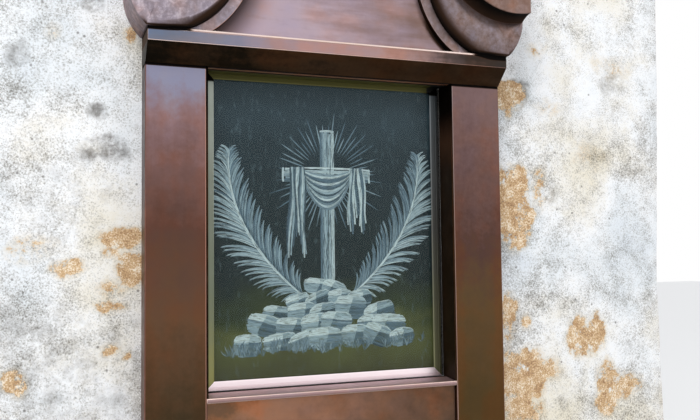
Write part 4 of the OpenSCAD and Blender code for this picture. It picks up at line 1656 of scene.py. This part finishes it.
@dataclass
class Picture:
    """Trim, glass and board, with a plain cross between palm branches in pale strokes.

    The bead is the sealant's: its gap to the sheets, its gap at the ends and its rows.
    """

    finishes: Finishes
    lift: float = 0.0004
    clear: float = 0.0008
    ground_edge: float = 0.0008
    mitre: float = 0.0001
    seed: int = 3
    bead_gap: float = 0.0002
    bead_end: float = 0.0005
    bead_rows: int = 40
    bead_shares: Sequence[float] = (0.0, 0.15, 0.3, 0.5, 0.7, 0.85, 1.0)
    section: Sequence[tuple[float, float]] = (
        (0.0, 0.0007), (0.0008, 0.0), (0.0088, 0.0), (0.0095, 0.0008), (0.0107, 0.0008),
        (0.0114, 0.0), (0.0262, 0.0006), (0.0270, 0.0013), (0.0292, 0.0018), (0.0300, 0.0024),
        (0.0300, 0.003), (0.003, 0.003))

    def build(self) -> None:
        """Builds the trim and the painted strokes, and dresses glass and board."""
        for word, turn in (("top", 0), ("bottom", 2), ("left", 3), ("right", 1)):
            self.trim(word, turn)
        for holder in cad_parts["picture_board"].material_slots:
            holder.material = self.finishes.ground
        self.pane()
        for side in Side:
            self.sealant(side)
        low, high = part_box("picture_board")
        brush = Brush(middle=((low[0] + high[0]) / 2, (low[2] + high[2]) / 2),
                      y=low[1] - self.lift, seed=self.seed)
        brush.paint("painted_strokes", self.finishes.strokes)

    def pane(self) -> None:
        """Builds the glass with ground edges, just clear of the board."""
        low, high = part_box("cover_glass")
        size = high - low - Vector((0, self.clear, 0))
        shape = bmesh.new()
        bmesh.ops.create_cube(shape, size=1.0)
        for v in shape.verts:
            v.co = Vector([(v.co[k] + 0.5) * size[k] + low[k] for k in range(3)])
        bmesh.ops.bevel(shape, geom=list(shape.edges), offset=self.ground_edge, segments=1,
                        profile=0.5, affect="EDGES")
        mesh = bpy.data.meshes.new("glass_pane")
        shape.to_mesh(mesh)
        shape.free()
        mesh.materials.append(self.finishes.glass)
        finish_piece(link_object("glass_pane", mesh), ["cover_glass"])

    def sealant(self, side: Side) -> None:
        """Runs a concave bead of sealant between the trim and a reveal sheet.

        Args:
            side: On which side.
        """
        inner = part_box("trim_right")[1][0] + self.bead_gap
        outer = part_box("right_reveal")[0][0] - self.bead_gap
        low_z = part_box("sill")[1][2] + self.bead_end
        high_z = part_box("cornice_bed")[0][2] - self.bead_end
        section = [(0.0, 0.0), *((t, -0.0012 + 0.0016 * math.sin(math.pi * t))
                                 for t in self.bead_shares), (1.0, 0.0)]
        noise = Noise(9)
        points = []
        for z in np.linspace(low_z, high_z, self.bead_rows):
            rows = np.array([(side.value * (inner + (outer - inner) * t), y, z)
                             for t, y in section])
            rows[1:-1, 1] += 0.0005 * noise.layers(rows[1:-1] * 3, 0.05, 2)
            points += list(rows)
        n = len(section)
        faces = quads(len(points) // n, n)
        faces += [tuple(range(n)), tuple(range(len(points) - n, len(points)))]
        closed_piece(f"{side.word}_sealant", points, faces, self.finishes.sealant, "dark_copper",
                     sharp=50)

    def trim(self, word: str, turn: int) -> None:
        """Builds one mitred side of the trim from its section.

        Args:
            word: Which side: top, bottom, left or right.
            turn: How many quarter turns it lies from the top.
        """
        low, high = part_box("trim_left")[0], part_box("trim_right")[1]
        half_w, _, half_h = (high - low) / 2
        middle = (high[2] + low[2]) / 2
        section = [(0.0, high[1]), *self.section, (0.003, high[1])]
        along, across = (half_h, half_w) if turn % 2 else (half_w, half_h)
        points = []
        for end in (-1, 1):
            for u, y in section:
                flat = Vector((end * (along - u - self.mitre), y, across - u))
                spot = Matrix.Rotation(math.pi / 2 * turn, 3, "Y") @ flat
                points.append((spot.x, spot.y, spot.z + middle))
        n = len(section)
        closed_piece(f"trim_{word}_section", points,
                     [*quads(2, n), tuple(range(n)), tuple(range(n, 2 * n))],
                     self.finishes.trim[word], "satin_aluminium", [f"trim_{word}"])


@dataclass
class Brush:
    """Lays brush strokes as thin ribbons on the picture board.

    Places are (x, z) in metres from the panel's middle, and a shade is 0 for dark and 1 for
    white. A taper tells how far a stroke's ends narrow, from 0 to 1. Each stroke lies a layer
    above the last one. A bristle's mark is hair_run long and hair_gap wide, which is coarser
    than a real one, so that it shows.
    """

    middle: tuple[float, float]
    y: float
    seed: int
    layer: float = 2e-7
    hair_run: float = 0.03
    hair_gap: float = 0.0016
    hub_z: float = 0.185
    cloth_z: float = 0.212
    ray_count: int = 56
    tuft_count: int = 70
    blades: int = 5
    rows: list[np.ndarray] = field(default_factory=list)
    faces: list[Face] = field(default_factory=list)
    count: int = 0

    def __post_init__(self) -> None:
        """Starts the random numbers."""
        self.random = np.random.default_rng(self.seed)

    def off(self, spread: float) -> float:
        """Draws how far something strays."""
        return self.random.normal(0, spread)

    def stroke(self, path: np.ndarray, width: float, shade: float, taper: float = 0.6) -> None:
        """Adds a stroke along a path.

        Args:
            path: Its points.
            width: Width in the middle.
            shade: Its shade.
            taper: Its taper.
        """
        step = np.gradient(path, axis=0)
        step /= np.maximum(np.linalg.norm(step, axis=1, keepdims=True), 1e-9)
        across = np.stack([-step[:, 1], step[:, 0]], axis=1)
        run = np.concatenate([[0], np.cumsum(np.linalg.norm(np.diff(path, axis=0), axis=1))])
        t = np.linspace(0, 1, len(path))
        half = width / 2 * (1 - taper * np.abs(2 * t - 1) ** 2.2)
        y = self.y - (len(self.rows) + 1) * self.layer
        salt = self.random.random() * 90
        edges = []
        for s in (-1, 1):
            x, z = (self.middle + (path + across * half[:, None] * s)).T
            edges.append(np.stack(np.broadcast_arrays(
                x, y, z, run / self.hair_run, s * half / self.hair_gap, salt,
                np.clip(shade, 0, 1)), axis=1))
        self.rows.append(np.stack(edges, axis=1).reshape(-1, 7))
        self.faces += [(k, k + 1, k + 3, k + 2)
                       for k in range(self.count, self.count + 2 * len(path) - 2, 2)]
        self.count += 2 * len(path)

    def sweep(self, start: Sequence[float], end: Sequence[float], bend: float, width: float,
              shade: float, taper: float = 0.6) -> None:
        """Adds a curved stroke between two places.

        Args:
            start: First place.
            end: Last place.
            bend: Sideways bulge in the middle, in metres.
            width: Width in the middle.
            shade: Its shade.
            taper: Its taper.
        """
        a, b = np.asarray(start, float), np.asarray(end, float)
        t = np.linspace(0, 1, 9)[:, None]
        d = b - a
        across = np.array([-d[1], d[0]]) / max(np.hypot(*d), 1e-9)
        self.stroke(a + d * t + across * bend * 4 * t * (1 - t), width, shade, taper)

    def bar(self, start: Sequence[float], end: Sequence[float], half: float, count: int,
            shades: tuple[float, float]) -> None:
        """Fills a straight bar with long strokes side by side.

        Args:
            start: Middle of one end.
            end: Middle of the other end.
            half: Half of the bar's width.
            count: Number of strokes.
            shades: Shade at the two long sides.
        """
        a, b = np.array(start), np.array(end)
        d = (b - a) / np.hypot(*(b - a))
        across = np.array([-d[1], d[0]])
        for k in range(count):
            s = 2 * (k + 0.5) / count - 1
            jitter = self.random.normal(0, 0.004, 2)
            shade = shades[0] + (shades[1] - shades[0]) * (s + 1) / 2 + self.off(0.09)
            self.sweep(a + across * half * s + d * jitter[0], b + across * half * s + d * jitter[1],
                       self.off(0.002), 2.3 * half / count, shade, 0.25)

    def cross(self) -> None:
        """Paints the cross, as squared timbers lit from the left."""
        self.bar((0.0, -0.20), (0.0, 0.335), 0.026, 9, (0.98, 0.45))
        self.bar((-0.155, self.hub_z), (0.155, self.hub_z), 0.024, 8, (0.4, 1.0))
        for x, z, reach in ((-0.157, self.hub_z, (0.0, 0.024)), (0.157, self.hub_z, (0.0, 0.024)),
                            (0.0, 0.338, (0.026, 0.0))):
            self.sweep((x - reach[0], z - reach[1]), (x + reach[0], z + reach[1]), 0.002, 0.007,
                       0.9, 0.2)
        for k in range(14):
            z = -0.17 + 0.035 * k
            x = self.off(0.012)
            self.sweep((x, z), (x + 0.004, z + 0.05), 0.002, 0.003, 0.15)

    def rays(self) -> None:
        """Paints thin rays round the crossing."""
        hub = np.array([0.0, self.hub_z])
        for k in range(self.ray_count):
            a = 2 * math.pi * k / self.ray_count + self.off(0.02)
            near = 0.075 + 0.02 * self.random.random()
            far = 0.13 + 0.06 * self.random.random() + (0.035 if k % 2 else 0.0)
            way = np.array([math.cos(a), math.sin(a)])
            self.sweep(hub + way * near, hub + way * far, 0.0, 0.0045,
                       0.25 + 0.35 * self.random.random(), 0.9)

    def cloth(self) -> None:
        """Paints a cloth hung over the arms of the cross, in swags and two hanging ends."""
        down = np.linspace(0, 1, 17)[:, None]
        for k, t in enumerate(np.linspace(0, 1, 16)):
            shade = 0.55 + 0.42 * math.sin(k * 1.9) + self.off(0.06)
            x, z = 0.105 - 0.018 * t, self.cloth_z - 0.030 * t
            sag = (0.028 + 0.085 * t) * (4 * down * (1 - down)) ** 0.8
            self.stroke(np.hstack([2 * x * down - x, z - sag]), 0.0085, shade, 0.35)
        for side, drop in ((-1, 0.31), (1, 0.23)):
            for k, t in enumerate(np.linspace(0, 1, 13)):
                x = side * (0.084 + 0.048 * t)
                sway = self.off(0.002)
                shade = 0.56 + 0.42 * math.sin(k * 1.55 + side) + self.off(0.06)
                foot = self.cloth_z - drop * (0.86 + 0.14 * math.sin(k * 0.8))
                z = np.linspace(self.cloth_z, foot, 12)
                fall = (self.cloth_z - z) / drop
                sideways = side * 0.022 * fall * (t - 0.35) + sway * fall
                ripple = 0.004 * np.sin(fall * 7 + k * 0.5)
                self.stroke(np.stack([x + sideways + ripple, z], axis=1), 0.0068, shade, 0.3)

    def mound(self) -> None:
        """Paints the rocks at the foot of the cross."""
        for z, half, count, size in ((-0.205, 0.075, 2, 0.045), (-0.245, 0.15, 4, 0.046),
                                     (-0.290, 0.225, 5, 0.052), (-0.335, 0.29, 6, 0.056),
                                     (-0.378, 0.32, 7, 0.050)):
            for k in range(count):
                x = -half + 2 * half * (k + 0.5) / count + self.off(0.010)
                wide = half / count * self.random.uniform(1.05, 1.4)
                self.rock(x, z + self.off(0.007), wide, size * self.random.uniform(0.55, 0.75))

    def rock(self, x: float, z: float, half_w: float, half_h: float, rows: int = 12) -> None:
        """Paints one rock: a lit top, a darker face and broken edges.

        Args:
            x: Its middle.
            z: Its middle height.
            half_w: Half width.
            half_h: Half height.
            rows: Strokes of its face, one above the other.
        """
        tilt = self.off(0.16)
        turn = np.array([[math.cos(tilt), math.sin(tilt)], [-math.sin(tilt), math.cos(tilt)]])
        corner = self.random.uniform(2.4, 3.6)
        base = self.random.normal(0.46, 0.09)
        lean = self.random.uniform(-0.35, 0.35)
        place = np.array([x, z])
        for s in 2 * (np.arange(rows) + 0.5) / rows - 1:
            reach = half_w * (1 - abs(s) ** corner) ** (1 / corner)
            reach *= self.random.uniform(0.93, 1.03)
            split = reach * (lean + 0.2 * s)
            lit = 0.36 if s > 0.35 else -0.10
            for a, b, gain in ((-reach, split, 0.16), (split, reach, -0.16)):
                start, end = place + np.array([(a, half_h * s), (b, half_h * s)]) @ turn
                shade = max(0.02, base + lit + gain + self.off(0.07))
                self.sweep(start, end, self.off(0.001), half_h * 0.24, shade, 0.3)
        a = np.linspace(0.35, math.pi - 0.2, 16)
        edge = np.stack([half_w * np.sign(np.cos(a)) * np.abs(np.cos(a)) ** (2 / corner),
                         half_h * np.sin(a) ** (2 / corner)], axis=1)
        wobble = self.random.normal(0, 0.0011, edge.shape)
        self.stroke(place + (edge + wobble) @ turn, 0.0036, 0.96, 0.7)

    def tufts(self) -> None:
        """Paints tufts of grass round the rocks."""
        for _ in range(self.tuft_count):
            x = -0.36 + 0.72 * self.random.random()
            z = -0.425 + 0.03 * self.random.random()
            for _ in range(self.blades):
                a = math.pi / 2 + self.off(0.38)
                tall = self.random.uniform(0.018, 0.042)
                self.sweep((x, z), (x + tall * math.cos(a), z + tall * math.sin(a)),
                           self.off(0.003), 0.0026, self.random.uniform(0.2, 0.6), 0.9)

    def palm(self, side: Side) -> None:
        """Paints a palm branch that curves up beside the cross.

        Args:
            side: On which side.
        """
        t = np.linspace(0, 1, 46)
        stem = np.stack([side.value * (0.045 + 0.30 * np.sin(t * math.pi * 0.52)),
                         -0.25 + 0.50 * t ** 1.25], axis=1)
        for k in range(4, 45):
            step = stem[k] - stem[k - 1]
            heading = math.atan2(step[1], step[0])
            length = 0.125 * math.sin(math.pi * (0.1 + 0.82 * t[k])) + 0.012
            for way in (-1, 1):
                a = heading + way * (0.85 - 0.35 * t[k]) + self.off(0.05)
                tip = stem[k] + length * np.array([math.cos(a), math.sin(a)])
                lit = 0.82 if way * side.value < 0 else 0.55
                for extra in range(2):
                    self.sweep(stem[k] + 0.002 * extra, tip - 0.004 * extra,
                               -way * (0.010 + 0.003 * extra), 0.0085 - 0.002 * extra,
                               lit - 0.22 * extra + self.off(0.08), 0.85)
        self.stroke(stem, 0.008, 0.95, 0.7)

    def paint(self, name: str, material: Material) -> None:
        """Paints the picture and makes it a piece.

        Args:
            name: The piece's name.
            material: The paint.
        """
        self.rays()
        for side in Side:
            self.palm(side)
        self.cross()
        self.cloth()
        self.mound()
        self.tufts()
        rows = np.concatenate(self.rows)
        mesh = mesh_from(name, rows[:, :3], self.faces)
        set_values(mesh, "along", rows[:, 3:6])
        set_values(mesh, "shade", rows[:, 6])
        if sum(p.normal.y for p in mesh.polygons) > 0:
            mesh.flip_normals()
        mesh.materials.append(material)
        finish_piece(link_object(name, mesh))


# Studio


@dataclass
class Studio:
    """Camera, lights, floor and white surroundings.

    A light is its name, place, target, size in metres and power in watts.
    """

    place: tuple[float, float, float] = (-0.9005, -2.6147, 1.5502)
    yaw: float = 20.56
    pitch: float = 3.19
    roll: float = -0.664
    focal_px: float = 803.78
    image_w: int = 700
    sensor: float = 36.0
    lamps: Sequence[tuple[str, tuple[float, ...], tuple[float, ...], float, float]] = (
        ("key", (-2.6, -4.2, 6.4), (0.2, 0.0, 1.9), 3.0, 250.0),
        ("fill", (5.0, -5.0, 3.0), (0.3, 0.0, 1.6), 4.0, 60.0))
    floor_half: float = 30.0
    floor_glow: float = 0.2

    def build(self) -> None:
        """Sets up everything that isn't part of the shrine."""
        self.camera()
        self.lights()
        self.floor()
        self.world()
        bpy.context.scene.view_settings.view_transform = "Standard"

    def camera(self) -> None:
        """Sets the camera at the photograph's viewing angle."""
        data = bpy.data.cameras.new("camera")
        data.sensor_fit = "HORIZONTAL"
        data.sensor_width = self.sensor
        data.lens = self.focal_px / self.image_w * self.sensor
        data.clip_end = 200.0
        camera = link_object("camera", data)
        yaw, pitch, roll = (math.radians(a) for a in (self.yaw, self.pitch, self.roll))
        ahead = Vector((math.sin(yaw) * math.cos(pitch), math.cos(yaw) * math.cos(pitch),
                        math.sin(pitch)))
        level = Vector((math.cos(yaw), -math.sin(yaw), 0.0))
        above = level.cross(ahead)
        right = level * math.cos(roll) + above * math.sin(roll)
        up = above * math.cos(roll) - level * math.sin(roll)
        turn = Matrix((right, up, -ahead)).transposed().to_4x4()
        camera.matrix_world = Matrix.Translation(self.place) @ turn
        bpy.context.scene.camera = camera

    def lights(self) -> None:
        """Hangs two large soft lights."""
        for name, place, target, size, power in self.lamps:
            data = bpy.data.lights.new(name, "AREA")
            data.size = size
            data.energy = power
            turn = (Vector(target) - Vector(place)).to_track_quat("-Z", "Y").to_matrix().to_4x4()
            link_object(name, data).matrix_world = Matrix.Translation(place) @ turn

    def seen(self, add: Adder) -> Node:
        """Adds what tells the eye's own rays, straight or through metal and glass.

        Args:
            add: What adds a node.

        Returns:
            1 for those rays and 0 for the light's.
        """
        path = add("LightPath").outputs
        rays = add("Math", {0: path["Is Camera Ray"], 1: path["Is Glossy Ray"]},
                   operation="MAXIMUM")
        return add("Math", {0: rays, 1: path["Is Transmission Ray"]}, operation="MAXIMUM")

    def floor(self) -> None:
        """Lays a plain pale floor."""
        half = self.floor_half
        mesh = mesh_from("floor", [(-half, -half, 0), (half, -half, 0), (half, half, 0),
                                   (-half, half, 0)], [(0, 1, 2, 3)])
        material, add, shader, _ = start_material("pale floor")
        glow = add("Math", {0: self.seen(add), 1: self.floor_glow}, operation="MULTIPLY")
        feed(shader, {"Base Color": linear("#fbfbfa"), "Roughness": 0.9,
                      "Emission Color": linear("#ffffff"), "Emission Strength": glow})
        mesh.materials.append(material)
        link_object("floor", mesh)

    def world(self) -> None:
        """Lights the scene softly all round, with a white background."""
        world = bpy.data.worlds.new("studio")
        bpy.context.scene.world = world
        world.use_nodes = True
        world.node_tree.nodes.clear()
        add = partial(add_node, world.node_tree)
        soft = add("Background", {"Color": linear("#f4f6fa"), "Strength": 0.66})
        white = add("Background", {"Color": linear("#ffffff"), "Strength": 1.0})
        add("OutputWorld", {"Surface": add("MixShader", {0: self.seen(add), 1: soft, 2: white})})


def main() -> None:
    """Builds the shrine's looks in order."""
    logging.basicConfig(level=logging.INFO, format="%(name)s %(message)s", stream=sys.stdout)
    Studio().build()
    finishes = Finishes(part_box("picture_board"))
    Masonry(finishes).build()
    CopperSurround(finishes).build()
    for side in Side:
        Scroll(finishes, side).build()
    Roof(finishes).build()
    Picture(finishes).build()


if __name__ == "__main__":
    main()
